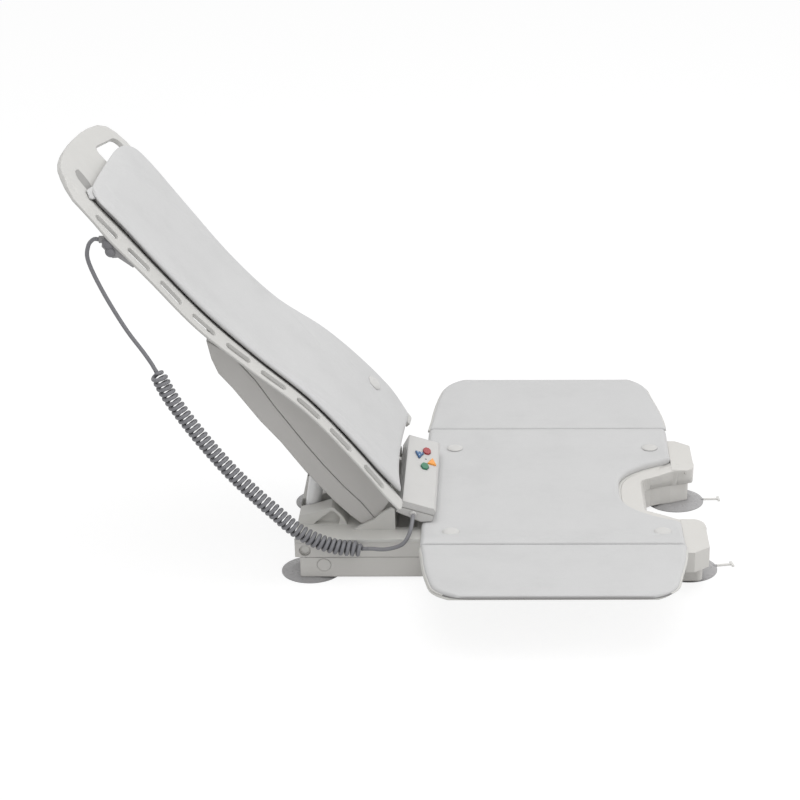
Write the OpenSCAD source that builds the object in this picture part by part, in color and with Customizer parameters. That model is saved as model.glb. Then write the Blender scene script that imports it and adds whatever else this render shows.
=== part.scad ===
// Battery bath lift, lowered and reclined.
// Millimetres. +X is the front (feet), +Y the sitter's left, +Z up, floor at z = 0.

/* [Seat] */
// Width of the centre section between the fold lines
seat_w = 379; // [340:1:400]
// Depth of the cover from its rear edge to its front edge
seat_d = 338; // [320:1:350]
// Thickness of the centre cushion in its middle
pad_t = 11; // [8:0.5:12]
// How much higher the cushion is along the fold lines
pad_rise = 8; // [4:0.5:10]
// Thickness of the seat plate
plate_t = 6; // [4:0.5:8]
// Depth of the front cut-out
cut_depth = 76; // [50:1:80]
// Half width of the cut-out at its mouth
cut_mouth = 104; // [100:1:115]
// Diameter of the snap buttons
snap_d = 22; // [16:1:26]

/* [Flaps] */
// Reach of a flap from its fold line
flap_reach = 167; // [120:1:190]
// Angle of a flap above level at rest
flap_tilt = 4; // [0:0.5:8]
// Thickness of a flap cushion
flap_pad_t = 6; // [5:0.5:10]
// Thickness of a flap plate
flap_plate_t = 3; // [2.5:0.5:6]
// Gap on each side of a fold line
fold_gap = 0.4; // [0.3:0.1:1]

/* [Base and rails] */
// Height of the base rails' underside
base_z = 3.5; // [3.5:0.5:6]
// Height of a base rail
rail_h = 27.5; // [26:0.5:30]
// Height of a seat rail
seat_rail_h = 20; // [19:0.5:22]
// Distance of a rail's inner face from the middle
rail_in = 101; // [100:1:106]
// Width of a rail
rail_w = 34; // [30:1:38]
// Gap between base rail and seat rail when lowered
rail_gap = 0.5; // [0.3:0.1:1]
// Radius of a suction cup
cup_r = 39.5; // [30:0.5:42]
// Diameter of a suction cup's neck
cup_neck_d = 16; // [10:1:18]

/* [Scissor] */
// Length of a scissor arm between its end pivots
arm_len = 430; // [420:1:434]
// Angle that the arms rise by
lift_max = 62; // [50:1:64]
// Height of an arm
arm_h = 16; // [14:1:16]
// Thickness of an arm
arm_t = 8; // [6:0.5:9]
// Diameter of the pivot pins
pin_d = 12; // [10:0.5:12]
// Diameter of a sliding end's stub
stub_d = 10; // [8:0.5:12]
// Diameter of a glide
glide_d = 16; // [14:0.5:16]
// Width of a glide
glide_w = 12; // [8:0.5:12]
// Diameter of the cross tubes
tie_d = 12; // [10:0.5:12]
// Radial running clearance of a pivot
run_c = 0.05; // [0.02:0.01:0.1]

/* [Backrest] */
// Width of the backrest shell
back_w = 320; // [316:1:340]
// How much narrower each side is at the waist
waist = 27; // [0:1:30]
// How far the shell's middle lies behind its edges
back_dish = 12; // [6:1:14]
// Thickness of the shell
shell_t = 6; // [4:0.5:7]
// Thickness of the shell at the flange's outer edge
flange_t = 2.5; // [2:0.5:5]
// Thickness of the back cushion
back_pad_t = 10; // [8:0.5:14]
// Bare flange of the shell beside the back cushion, at the foot
back_rim = 16.5; // [12:0.5:20]
// How much wider the flange is near the grip end
rim_more = 12; // [0:1:14]
// Width of the drive housing
housing_w = 200; // [190:1:206]
// Wall of the drive housing
wall = 4; // [3:0.5:5]
// Number of slots in each edge of the shell
slot_n = 9; // [3:1:9]
// Length of an edge slot
slot_l = 38; // [20:1:40]
// Width of an edge slot
slot_w = 8.5; // [4:0.5:11]
// Width of the grip hole
grip_w = 70; // [50:1:76]
// Height of the grip hole
grip_h = 37; // [28:1:40]
// Diameter of the back hinge pin
hinge_d = 10; // [8:0.5:12]

/* [Struts] */
// Distance of a strut from the middle
strut_y = 48; // [47:0.5:49]
// Outer diameter of a strut tube
tube_d = 20; // [18:0.5:21]
// Bore of a strut tube
tube_bore = 15; // [14:0.5:16]
// Diameter of a strut rod
rod_d = 10; // [8:0.5:11]
// Diameter of the strut pivot pin
strut_pin_d = 8; // [6:0.5:9]

/* [Handset] */
// Length of the handset
hand_l = 220; // [200:1:226]
// Wall of the handset
hand_wall = 2.5; // [2:0.5:3]
// Size of a key across
key_d = 11; // [8:0.5:12]
// Height of a key above the handset
key_h = 2; // [1.7:0.1:3]
// Gap round a key
key_gap = 0.4; // [0.3:0.1:0.6]

/* [Cord] */
// Diameter of the cord
cord_d = 5.2; // [4:0.2:5.4]
// Outer diameter of the curls
curl_d = 21; // [18:0.5:22]
// Number of curls
curl_n = 52; // [20:1:52]

/* [Hidden] */
$fn = 48;
eps = 0.01;

white = [0.86, 0.86, 0.84];
shade = [0.80, 0.80, 0.78];
grey = [0.62, 0.61, 0.63];
dark = [0.40, 0.40, 0.42];
metal = [0.72, 0.73, 0.75];

// Heights
rail_top = base_z + rail_h;
seat_rail_z = rail_top + rail_gap;
plate_z = seat_rail_z + seat_rail_h;
pad_z = plate_z + plate_t;
pad_top = pad_z + pad_t;
fold_z = pad_top + pad_rise;
rail_out = rail_in + rail_w;
fold_y = seat_w / 2;

// Lengths along X
seat_rear = -5;
seat_front = seat_rear + seat_d;
base_rear = -161;
deck_rear = -167;
lug_l = 31;
lug_x = seat_front + 0.1;
lug_front = lug_x + lug_l;
// Inner edge of a lug where it starts and at its front
lug_in = 80;
lug_in_front = 94;
// Inner edge of its underside
lug_low = 91;
lug_out = 182;
lug_top = pad_z + 1.5;
lug_wall = 3.5;
cup_rear_x = -148;
cup_front_x = 341;
cup_y = 108;
foot_x = cup_front_x - 19;
foot_front = cup_front_x + 17;
foot_out = 150;
// Inner edge of a foot, from the front cup's middle and from the part's middle
foot_edge = [[-50, 101], [-50, 71], [-46, 73], [-36, 82], [-22, 87.5], [-8, 91.5], [14, 102]];
cup_neck_h = 9;
// Turn of the pull tabs on the left and the right front cup
tab_turn = [3, -11];
tab_l = 23;
tab_half = 6.5;

// Scissor geometry: equal arms, pivots level with the sliding ends
base_pivot = [-130, base_z + 17];
seat_pivot = [-154, seat_rail_z + 9];
arm_rise = seat_pivot[1] - base_pivot[1];
arm_a0 = asin(arm_rise / arm_len);
arm_step = base_pivot[0] - seat_pivot[0];
cross_a = (arm_len - arm_step / cos(arm_a0)) / 2;
cross_b = arm_len - cross_a;
cross_at = base_pivot + cross_a * [cos(arm_a0), sin(arm_a0)];
outer_end = base_pivot + arm_len * [cos(arm_a0), sin(arm_a0)];
inner_end = seat_pivot + arm_len * [cos(arm_a0), -sin(arm_a0)];
arm_gap = 5;
// Room kept round an arm's end
arm_room = arm_h / 2 + 2;
outer_y = rail_in - arm_gap - arm_t;
inner_y = outer_y - 14 - arm_t;
track_c = 0.1;
track_end = glide_d / 2 + 3;
// Where the sliding ends stand when the arms are up
lower_up = base_pivot[0] + 2 * cross_a * cos(arm_a0 + lift_max);
upper_up = seat_pivot[0] + 2 * cross_b * cos(arm_a0 + lift_max);
glide_y = rail_in - 1;
track_y = glide_y + glide_w + 1.2;

// Back curve, foot to grip end, along the shell's edge (x, z)
back_pts = [[-30, 107], [-88, 178.5], [-147, 239], [-213.5, 290], [-275, 348.5], [-330.5, 415.5],
  [-384.5, 480], [-445, 541.5]];
// Shares of the waist and of the wider flange at these points
waist_share = [0, 0.26, 0.65, 1, 0.65, 0.4, 0.05, 0.05];
rim_share = [0, 0, 0.1, 0.4, 0.8, 0.7, 1, 1];
// Slope of the flange back to its outer edge
droop = 0.31;
back_half = back_w / 2;
back_hinge = [-58, 98];
back_n = len(back_pts) - 1;

// Struts: pivot on the tower, pivot of the rods in the housing
strut_lean = 9;
strut_at = [-150, 62];
strut_reach = 118;
rod_at = strut_at + strut_reach * [sin(strut_lean), cos(strut_lean)];
tube_l = 85;
rod_l = 100;
tube_floor = 14;

// Handset: middle of its top face and its slope
hand_at = [-12, 94.9];
hand_slope = 16.7;
hand_sec = [[-17, 0], [25, 0], [28.5, -3.5], [27, -17.5], [14, -22.5], [-21, -17.5]];
hand_seam = -9;
hand_gap = 0.7;
hand_half = hand_l / 2;
lamp_at = [9, 42];
// Length of a key over its width
key_long = 1.9;

// Cord routes (x, y, z)
cord_y = -147;
lead_pts = [[-15, -116.3, 81], [-15, -122, 81], [-16, -132, 77], [-19, -141, 67], [-27, -147, 56],
  [-40, -147, 50], [-54, -147, 48], [-66, -147, 49], [-72, -147, 49]];
curl_pts = [[-72, 49], [-78, 49], [-107, 51], [-136, 60], [-164, 77], [-190, 102], [-210, 122],
  [-242, 157], [-280, 207], [-312, 257], [-328, 292], [-331, 298]];
tail_pts = [[-331.2, -147, 298.4], [-334, -147, 304], [-343, -147, 319], [-363, -147, 350], [-387, -147, 397],
  [-402, -147, 436], [-401, -147, 455], [-394, -147, 464], [-387, -147, 464]];

// Shared functions
function cr(p, k, f) =
  let (n = len(p) - 1, a = p[max(k - 1, 0)], b = p[k], c = p[min(k + 1, n)], d = p[min(k + 2, n)])
  0.5 * (2 * b + (c - a) * f + (2 * a - 5 * b + 4 * c - d) * f * f
    + (3 * b - a - 3 * c + d) * f * f * f);
function along(p, t) =
  let (k = min(max(floor(t), 0), len(p) - 2)) cr(p, k, t - k);
function unit(v) = v / norm(v);
function smooth(a, b, x) =
  let (t = min(max((x - a) / (b - a), 0), 1)) t * t * (3 - 2 * t);
function edge(t) = along(back_pts, t);
function back_dir(t) = unit(edge(min(t + 0.02, back_n)) - edge(max(t - 0.02, 0)));
function back_nor(t) = [back_dir(t)[1], -back_dir(t)[0]];
// Half width along the back, and the width of its flange
function half_at(t) = back_half - waist * along(waist_share, t);
function rim_at(t) = back_rim + rim_more * along(rim_share, t);
// Share of the fall that the flange keeps towards the grip end
function fall(t) = 1 - 0.6 * smooth(5.7, 6.4, t) - 0.4 * (1 - smooth(0.05, 0.4, t));
// Forward offset of the section: dished in the middle, falling back over the flange
function section(t, y) =
  let (r = rim_at(t), c = half_at(t) - r, k = abs(y) / c)
  droop * r * (k > 1 ? 1 - fall(t) * (abs(y) - c) / r : 1) - (k > 1 ? 0 : back_dish * (1 - k * k));
// A point of the back: station t, sideways y, forward offset
function back_at(t, y, off) =
  let (p = edge(t) + back_nor(t) * (off + section(t, y))) [p[0], y, p[1]];
function back_turn(t) = atan2(back_nor(t)[0], back_nor(t)[1]);

// The middle of the length lies on the origin; stations here are measured from the
// rear end of the fold lines.
grip_half = 20;
x_rear = edge(back_n)[0]
  - back_nor(back_n)[0] * (shell_t - section(back_n, 0));
x_front = cup_front_x + (cup_r + tab_l) * cos(tab_turn[0]) + tab_half * sin(tab_turn[0]);
x_mid = (x_rear + x_front) / 2;

module place() { translate([-x_mid, 0, 0]) children(); }
module both() { children(); mirror([0, 1, 0]) children(); }
module on_side(s) { if (s > 0) children(); else mirror([0, 1, 0]) children(); }
// A cylinder across the part, at (x, z), from y0 to y1
module across(at, d, y0, y1) {
  translate([at[0], y1, at[1]]) rotate([90, 0, 0]) cylinder(d = d, h = y1 - y0);
}
// A side-view outline pulled from y0 to y1
module pull(y0, y1) { translate([0, y1, 0]) rotate([90, 0, 0]) linear_extrude(y1 - y0) children(); }
module box(a, b) { translate(a) cube(b - a); }
module round_rect(x0, y0, x1, y1, r) {
  translate([x0 + r, y0]) square([x1 - x0 - 2 * r, y1 - y0]);
  translate([x0, y0 + r]) square([x1 - x0, y1 - y0 - 2 * r]);
  for (x = [x0 + r, x1 - r]) for (y = [y0 + r, y1 - r]) translate([x, y]) circle(r);
}
module slot2(l, w) {
  square([l - w, w], center = true);
  for (s = [-1, 1]) translate([s * (l - w) / 2, 0]) circle(d = w);
}

// A closed skin over a grid of upper and lower points, nu by nv cells
module skin(nu, nv, up, low) {
  m = nv + 1;
  c = (nu + 1) * m;
  pts = concat([for (i = [0 : nu]) for (j = [0 : nv]) up(i / nu, j / nv)],
    [for (i = [0 : nu]) for (j = [0 : nv]) low(i / nu, j / nv)]);
  top = [for (i = [0 : nu - 1]) for (j = [0 : nv - 1]) each let (a = i * m + j)
    [[a, a + m, a + m + 1], [a, a + m + 1, a + 1]]];
  bottom = [for (f = top) [f[0] + c, f[2] + c, f[1] + c]];
  rim = concat([for (j = [0 : nv - 1]) j], [for (i = [0 : nu - 1]) i * m + nv],
    [for (j = [0 : nv - 1]) nu * m + nv - j], [for (i = [0 : nu - 1]) (nu - i) * m]);
  n = len(rim);
  side = [for (k = [0 : n - 1]) each let (a = rim[k], b = rim[(k + 1) % n])
    [[a, b, b + c], [a, b + c, a + c]]];
  polyhedron(points = pts, faces = concat(top, bottom, side));
}

// A round tube along points, with frames carried from ring to ring
function carried(p, v0) = [for (i = 0, v = v0; i < len(p); i = i + 1,
  v = i < len(p) ? let (t = unit(p[min(i + 1, len(p) - 1)] - p[max(i - 1, 0)]))
    unit(v - (v * t) * t) : v) v];
module tube(p, d, sides, v0) {
  n = len(p);
  v = carried(p, v0);
  pts = [for (i = [0 : n - 1])
    let (t = unit(p[min(i + 1, n - 1)] - p[max(i - 1, 0)]), a = unit(v[i] - (v[i] * t) * t),
      b = cross(t, a))
    for (k = [0 : sides - 1]) p[i] + d / 2 * (cos(360 * k / sides) * a + sin(360 * k / sides) * b)];
  wall_f = [for (i = [0 : n - 2]) for (k = [0 : sides - 1]) each
    let (q = i * sides + k, r = i * sides + (k + 1) % sides)
    [[q, q + sides, r + sides], [q, r + sides, r]]];
  ends = [for (k = [1 : sides - 2]) each
    [[0, k, k + 1], [(n - 1) * sides, (n - 1) * sides + k + 1, (n - 1) * sides + k]]];
  polyhedron(points = pts, faces = concat(wall_f, ends));
}

// Base
bar_z = base_z + cup_neck_h + 1.5;
bar_x = 195;
bar_w = 30;
bar_t = 7;
module base_rail(s) {
  color(white) place() on_side(s) difference() {
    translate([0, 0, base_z]) linear_extrude(rail_h) {
      round_rect(base_rear, rail_in, foot_x + 20, rail_out, 3);
      round_rect(foot_x, rail_in, foot_front, foot_out, 8);
      polygon(concat([for (q = foot_edge) [cup_front_x + q[0], q[1]]], [[foot_front, foot_edge[6][1] + 3],
        [foot_front, rail_out - 9], [foot_x, rail_out]]));
    }
    // track of the lower glide
    box([lower_up - track_end, rail_in - 20, base_pivot[1] - glide_d / 2 - track_c],
      [inner_end[0] + track_end, track_y, rail_top + 1]);
    across(base_pivot, pin_d, rail_in - 1, rail_out + 1);
    across(base_pivot, pin_d + 5.4, rail_out - 2.5, rail_out + 1);
    for (x = [cup_rear_x, cup_front_x])
      translate([x, cup_y, base_z - 1]) cylinder(d = cup_neck_d, h = cup_neck_h + 1);
    // seats of the cross bars
    box([base_rear + 1, rail_in - 1, bar_z], [base_rear + 19, rail_in + 4, rail_top - 4]);
    box([bar_x, rail_in - 1, base_z], [bar_x + bar_w, rail_in + 4, base_z + bar_t]);
  }
}
module base_rail_left() { base_rail(1); }
module base_rail_right() { base_rail(-1); }
module base_bar_rear() {
  color(white) place() box([base_rear + 1, -rail_in - 4, bar_z],
    [base_rear + 19, rail_in + 4, rail_top - 4]);
}
module base_bar_middle() {
  color(white) place() box([bar_x, -rail_in - 4, base_z], [bar_x + bar_w, rail_in + 4, base_z + bar_t]);
}
module cup(x, s, tab, turn = 0) {
  color(grey) place() on_side(s) translate([x, cup_y, 0]) {
    rotate_extrude() polygon([[cup_r - 6, 0], [cup_r, 0], [cup_r, 1.2], [cup_r - 14, base_z],
      [cup_neck_d / 2, base_z], [cup_neck_d / 2, base_z + cup_neck_h], [0, base_z + cup_neck_h], [0, 1.8],
      [cup_r - 16, 1.4]]);
    if (tab) rotate(turn) {
      box([cup_r - 3, -1.8, 0.4], [cup_r + tab_l - 1, 1.8, 2.2]);
      box([cup_r + tab_l - 3, -tab_half, 0.4], [cup_r + tab_l, tab_half, 2.6]);
    }
  }
}
module cup_front_left() { cup(cup_front_x, 1, true, tab_turn[0]); }
module cup_front_right() { cup(cup_front_x, -1, true, tab_turn[1]); }
module cup_rear_left() { cup(cup_rear_x, 1, false); }
module cup_rear_right() { cup(cup_rear_x, -1, false); }
module base_pivot_pins() {
  color(shade) place() both() {
    across(base_pivot, pin_d, outer_y - 2, rail_out - 1);
    across(base_pivot, pin_d + 5.4, rail_out - 2.5, rail_out + 0.6);
  }
}

// Scissor arms
module arm_bar(from, to, y) {
  a = atan2(to[1] - from[1], to[0] - from[0]);
  translate([from[0], y + arm_t, from[1]]) rotate([90, 0, 0]) linear_extrude(arm_t) rotate(a) {
    translate([0, -arm_h / 2]) square([arm_len, arm_h]);
    circle(d = arm_h);
    translate([arm_len, 0]) circle(d = arm_h);
  }
}
outer_tie_l = 26;
inner_tie_l = 120;
outer_tie_at = base_pivot + outer_tie_l * [cos(arm_a0), sin(arm_a0)];
inner_tie_at = seat_pivot + inner_tie_l * [cos(arm_a0), -sin(arm_a0)];
module outer_arm(s) {
  color(metal) place() on_side(s) difference() {
    union() {
      arm_bar(base_pivot, outer_end, outer_y);
      across(outer_end, stub_d, outer_y, glide_y + glide_w);
    }
    across(base_pivot, pin_d + 2 * run_c, outer_y - 1, outer_y + arm_t + 1);
    across(cross_at, pin_d, outer_y - 1, outer_y + arm_t + 1);
    across(outer_tie_at, tie_d, outer_y - 1, outer_y + arm_t - 2);
  }
}
module outer_arm_left() { outer_arm(1); }
module outer_arm_right() { outer_arm(-1); }
module outer_tie() {
  color(metal) place() across(outer_tie_at, tie_d, -(outer_y + arm_t - 2), outer_y + arm_t - 2);
}
module cross_pivot_pins() {
  color(metal) place() both() {
    across(cross_at, pin_d, inner_y - 1, outer_y + arm_t);
    across(cross_at, pin_d + 6, inner_y + arm_t + 0.4, outer_y);
    across(cross_at, pin_d + 4, inner_y - 3.5, inner_y - 0.5);
  }
}
module glide(at) {
  difference() {
    across(at, glide_d, glide_y, glide_y + glide_w);
    across(at, stub_d, glide_y - 1, glide_y + glide_w + 1);
  }
}
module upper_glides() { color(dark) place() both() glide(outer_end); }
module lower_glides() { color(dark) place() both() glide(inner_end); }
module inner_arm(s) {
  color(metal) place() on_side(s) difference() {
    union() {
      arm_bar(seat_pivot, inner_end, inner_y);
      across(inner_end, stub_d, inner_y, glide_y + glide_w);
    }
    across(seat_pivot, pin_d + 2 * run_c, inner_y - 1, inner_y + arm_t + 1);
    across(cross_at, pin_d + 2 * run_c, inner_y - 1, inner_y + arm_t + 1);
    across(inner_tie_at, tie_d, inner_y - 1, inner_y + arm_t - 2);
  }
}
module inner_arm_left() { inner_arm(1); }
module inner_arm_right() { inner_arm(-1); }
module inner_tie() {
  color(metal) place() across(inner_tie_at, tie_d, -(inner_y + arm_t - 2), inner_y + arm_t - 2);
}

// Seat frame
lug_r = 12;
lug_cut = [20, 17];
module lug_plan(w, r) {
  x0 = lug_x + (w > 0 ? -20 : 0);
  x1 = lug_front - w;
  y1 = lug_out - w;
  polygon([[x0, lug_in + w], [x1 - r, lug_in + 1 + w], [x1 - r / 6, lug_in_front + w],
    [x1, lug_in_front + r + w], [x1, y1 - lug_cut[1]], [x1 - lug_cut[0], y1], [x0, y1]]);
}
// The lug's inner face leans outward below its edge, more so towards its front
module lug_lean() {
  z0 = seat_rail_z - 1;
  z1 = lug_top - 3;
  for (k = [0, 1]) translate([lug_x - 1 + 9 * k, lug_in, 0]) rotate(24 * k) rotate([90, 0, 90])
    linear_extrude(60) polygon([[-3, z0], [lug_low - lug_in, z0], [-0.5, z1], [-3, z1]]);
}
module seat_rail(s) {
  color(white) place() on_side(s) difference() {
    union() {
      box([deck_rear, rail_in, seat_rail_z], [lug_x + 4, rail_out, plate_z]);
      difference() {
        translate([0, 0, seat_rail_z]) linear_extrude(lug_top - seat_rail_z) lug_plan(0, lug_r);
        translate([0, 0, seat_rail_z - 1]) linear_extrude(lug_top - lug_wall - seat_rail_z + 1)
          intersection() {
            lug_plan(lug_wall, lug_r - lug_wall);
            translate([lug_x - 30, rail_in + 8]) square([80, 100]);
          }
      }
      box([lug_x, rail_in, seat_rail_z], [lug_front - 1, rail_out, lug_top - 1]);
    }
    // track of the upper glide
    box([upper_up - track_end, rail_in - 1, seat_rail_z - 1],
      [outer_end[0] + track_end, track_y, seat_pivot[1] + glide_d / 2 + track_c]);
    // room for the arm's end where it reaches into the lug
    box([min(lug_x, outer_end[0]) - arm_h, outer_y - 2, seat_rail_z - 1],
      [outer_end[0] + arm_room, rail_in - 0.5, outer_end[1] + arm_room]);
    across(seat_pivot, pin_d, rail_in - 1, rail_out + 1);
    across(seat_pivot, pin_d + 3, rail_out - 4, rail_out + 1);
    lug_lean();
  }
}
module seat_rail_left() { seat_rail(1); }
module seat_rail_right() { seat_rail(-1); }
// Front edge of plate and cover at a distance y from the middle
function front_at(y) = let (a = abs(y) / cut_mouth)
  seat_front - (a < 1 ? cut_depth * (1 - pow(a, 3)) : 0);
lip = 2.5;
module seat_plate() {
  ys = concat([for (k = [0 : 24]) -(cut_mouth + 14) + k * (cut_mouth + 14) / 12]);
  color(white) place() difference() {
    box([seat_rear + 1, -fold_y + 3, plate_z], [seat_front - 1, fold_y - 3, pad_z]);
    translate([0, 0, plate_z - 1]) linear_extrude(plate_t + 2)
      polygon(concat([for (y = ys) [min(front_at(y) + lip, seat_front - 1), y]],
        [[seat_front + 9, cut_mouth + 14], [seat_front + 9, -cut_mouth - 14]]));
  }
}
// Apron round the cut-out: from the plate's edge down a slope and then a wall to the rails' underside.
// Places along half of it, from the middle out: sideways at the plate, then (from seat front, sideways)
// at the break and at the bottom.
apron_y = [0, 30, 50, 67, 78, 89, cut_mouth];
apron_break = [[-45, 0], [-45, 20], [-45, 36], [-43, 48], [-32, 56], [-17, 66], [0, 79]];
apron_foot = [[-38, 0], [-38, 30], [-38, 52], [-37, 68], [-29, 77], [-16, 84], [0, 91]];
apron_t = 2.5;
apron_z = pad_z - 0.5;
apron_gap = 0.4;
function apron_pt(u, v) =
  let (w = 2 * v - 1, q = 6 * abs(w), sg = w < 0 ? -1 : 1, y = along(apron_y, q), b = along(apron_break, q),
    f = along(apron_foot, q),
    p = u < 0.25 ? [min(front_at(y) + lip + apron_gap, seat_front), y, pad_z - 0.3] :
      u < 0.75 ? [seat_front + b[0], b[1], apron_z] : [seat_front + f[0], f[1], seat_rail_z])
  [p[0], sg * p[1], p[2]];
function apron_in(u, v) =
  let (p = apron_pt(u, v), w = 2 * v - 1, k = smooth(0.25, 0.8, abs(w)), n = unit([k - 1, (w < 0 ? -1 : 1) * k]))
  u < 0.25 ? p - [0, 0, apron_t] : u < 0.75 ? [p[0] + apron_t * n[0], p[1] + apron_t * n[1], p[2] - 0.6 * apron_t] :
    [p[0] + apron_t * n[0], p[1] + apron_t * n[1], p[2]];
module seat_apron() {
  color(white) place() skin(2, 36, function (u, v) apron_pt(u, 1 - v), function (u, v) apron_in(u, 1 - v));
}
cheek_y = 60;
cheek_t = 10;
tower_half = 90;
strut_pin_half = 65;
// Plates beside the housing's foot
skirt_y = housing_w / 2 + 1;
skirt_t = 5;
// Trough under the handset
trough = [[-38, 46], [-10, 46]];
trough_half = 97;
module rear_bracket() {
  color(white) place() difference() {
    union() {
      box([deck_rear, -rail_out, plate_z], [seat_rear + 0.7, rail_out, plate_z + 5]);
      box([trough[0][0] - 3, -trough_half - 3, trough[0][1] - 2],
        [trough[1][0] + 3, trough_half + 3, plate_z + 1]);
      // tower of the struts
      pull(-tower_half, tower_half) polygon([[deck_rear + 2, plate_z + 4], [-164, 70], [-150, 72],
        [-122, 81], [-118, 80], [-107, 68], [-101, plate_z + 4]]);
      box([-164, -strut_pin_half + 4, 40], [-122, strut_pin_half - 4, plate_z + 1]);
      // cheeks of the back hinge
      both() pull(cheek_y, cheek_y + cheek_t) {
        polygon([[-96, plate_z + 4], [-40, plate_z + 4], [-40, 70], [-26, 72], [-26, 78.6],
          [-36, 83.2], [-46, 86], [-58, 88], [-70, 90]]);
        translate(back_hinge) circle(d = hinge_d + 13);
      }
      both() pull(skirt_y, skirt_y + skirt_t) polygon([[-95, plate_z + 4], [-38.5, plate_z + 4],
        [-38.5, 84], [-45, 87], [-58, 79], [-66, 71], [-80, 64]]);
    }
    // sides of the tower are hollowed below a rib
    both() pull(tower_half - 9, tower_half + 1)
      polygon([[-146, plate_z + 6], [-123, 76], [-118.5, 74.5], [-111, 66], [-113, plate_z + 6]]);
    // recesses that the struts lean in
    both() box([-164, strut_y - tube_d / 2 - 2, 47], [-112, strut_y + tube_d / 2 + 2, 92]);
    across(strut_at, strut_pin_d, -strut_pin_half, strut_pin_half);
    across(back_hinge, hinge_d + 2 * run_c, -100, 100);
    // open space under the handset
    box([trough[0][0], -trough_half, trough[0][1]], [trough[1][0], trough_half, plate_z + 6]);
  }
}
module seat_pivot_pins() {
  color(shade) place() both() {
    across(seat_pivot, pin_d, inner_y - 1, rail_out - 4);
    across(seat_pivot, pin_d + 5, inner_y + arm_t + 0.4, rail_in);
    across(seat_pivot, pin_d + 4, inner_y - 3.5, inner_y - 0.5);
  }
}
module strut_pin() {
  color(metal) place() across(strut_at, strut_pin_d, -strut_pin_half, strut_pin_half);
}

// Cushions. A pillow rises from its seam over a short roll and is drawn in at its sides.
function roll(d, w) = d <= 0 ? 0 : d >= w ? 1 : sqrt(1 - pow(1 - d / w, 2));
// Spaced closer to both ends
function ease(t) = 0.5 - 0.5 * cos(180 * t);
function seat_line(v) =
  let (h = fold_y - fold_gap, w = 2 * v - 1, k = abs(w), sg = w < 0 ? -1 : 1)
  sg * (k < 0.62 ? k / 0.62 * (cut_mouth + 12) :
    cut_mouth + 12 + (h - cut_mouth - 12) * sin(90 * (k - 0.62) / 0.38));
snap_x = [34, 306];
snap_y = fold_y - 52.5;
function well(x, y) = max([for (sx = snap_x)
  1 - smooth(snap_d / 2 + 2, snap_d / 2 + 14, norm([x - sx, abs(y) - snap_y]))]);
function seat_up(u, v) =
  let (y = seat_line(v), x0 = seat_rear, x1 = front_at(y), x = x0 + (x1 - x0) * ease(u),
    d = min(x - x0, x1 - x), e = fold_y - fold_gap - abs(y),
    crown = pad_rise * (1 - smooth(4, 60, e)),
    z = pad_z + 3 + (pad_t - 3 + crown - 1.2 * well(x, y)) * roll(d + 0.4, 5) * roll(e + 1, 2))
  [x, y, z];
function seat_low(u, v) =
  let (y = seat_line(v), x0 = seat_rear, x1 = front_at(y), i = 1.2,
    x = x0 + i + (x1 - x0 - 2 * i) * ease(u)) [x, y * (1 - i / fold_y), pad_z];
module seat_pad() {
  color(shade) place() skin(10, 28, function (u, v) seat_up(u, v), function (u, v) seat_low(u, v));
}
module seat_snap_buttons() {
  color(shade) place() for (x = snap_x) for (s = [-1, 1]) translate([x, s * snap_y, pad_top - 0.9]) {
    rotate_extrude() polygon([[0, 0], [snap_d / 2, 0], [snap_d / 2, 1], [snap_d / 2 - 2, 2.2],
      [snap_d / 2 - 6, 3], [0, 3.2]]);
  }
}

// Flaps, drawn flat beside the fold line and then tipped up
module flap(s) {
  color(shade) place() on_side(s) translate([0, fold_y, fold_z]) rotate([flap_tilt, 0, 0]) children();
}
flap_r = 38;
fore_r = 42;
flap_inset = 6;
flap_rim = 0.6;
// Rear and front edge of a flap at reach d
function flap_rear(d) = let (k = d / flap_reach, c = d - (flap_reach - flap_r))
  seat_rear + 2.5 * smooth(0, 0.2, k) + 23 * k * k + (c > 0 ? flap_r - sqrt(max(flap_r * flap_r - c * c, 0)) : 0);
function flap_fore(d) = let (k = d / flap_reach, c = d - (flap_reach - fore_r))
  seat_front - 20.5 * smooth(0.05, 1, k) - (c > 0 ? fore_r - sqrt(max(fore_r * fore_r - c * c, 0)) : 0);
function flap_d(v) = fold_gap + (flap_reach - fold_gap) * (1 - pow(1 - v, 2));
function flap_up(u, v) =
  let (d = flap_d(v), x0 = flap_rear(d), x1 = flap_fore(d), x = x0 + (x1 - x0) * ease(u),
    g = min(x - x0, x1 - x, flap_reach - d), b = d - fold_gap,
    z = -flap_pad_t + 3 + (flap_pad_t - 3) * roll(g + 0.3, 6) * roll(b + 1, 2))
  [x, d, z];
function flap_low(u, v) =
  let (d = flap_d(v), x0 = flap_rear(d) + 1.2, x1 = flap_fore(d) - 1.2)
  [x0 + (x1 - x0) * ease(u), d * (1 - 1.2 / flap_reach) + 0.1, -flap_pad_t];
module flap_pad(s) {
  flap(s) skin(10, 12, function (u, v) flap_up(u, v), function (u, v) flap_low(u, v));
}
module flap_pad_left() { flap_pad(1); }
module flap_pad_right() { flap_pad(-1); }
module flap_plate(s) {
  ds = [for (k = [0 : 16]) 4 + (flap_reach - 4 - flap_inset) * sin(90 * k / 16)];
  flap(s) translate([0, 0, -flap_pad_t - flap_plate_t]) linear_extrude(flap_plate_t)
    polygon(concat([for (d = ds) [flap_rear(d) - flap_rim, d]],
      [for (k = [16 : -1 : 0]) [flap_fore(ds[k]) - flap_inset, ds[k]]]));
}
module flap_plate_left() { flap_plate(1); }
module flap_plate_right() { flap_plate(-1); }

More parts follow.
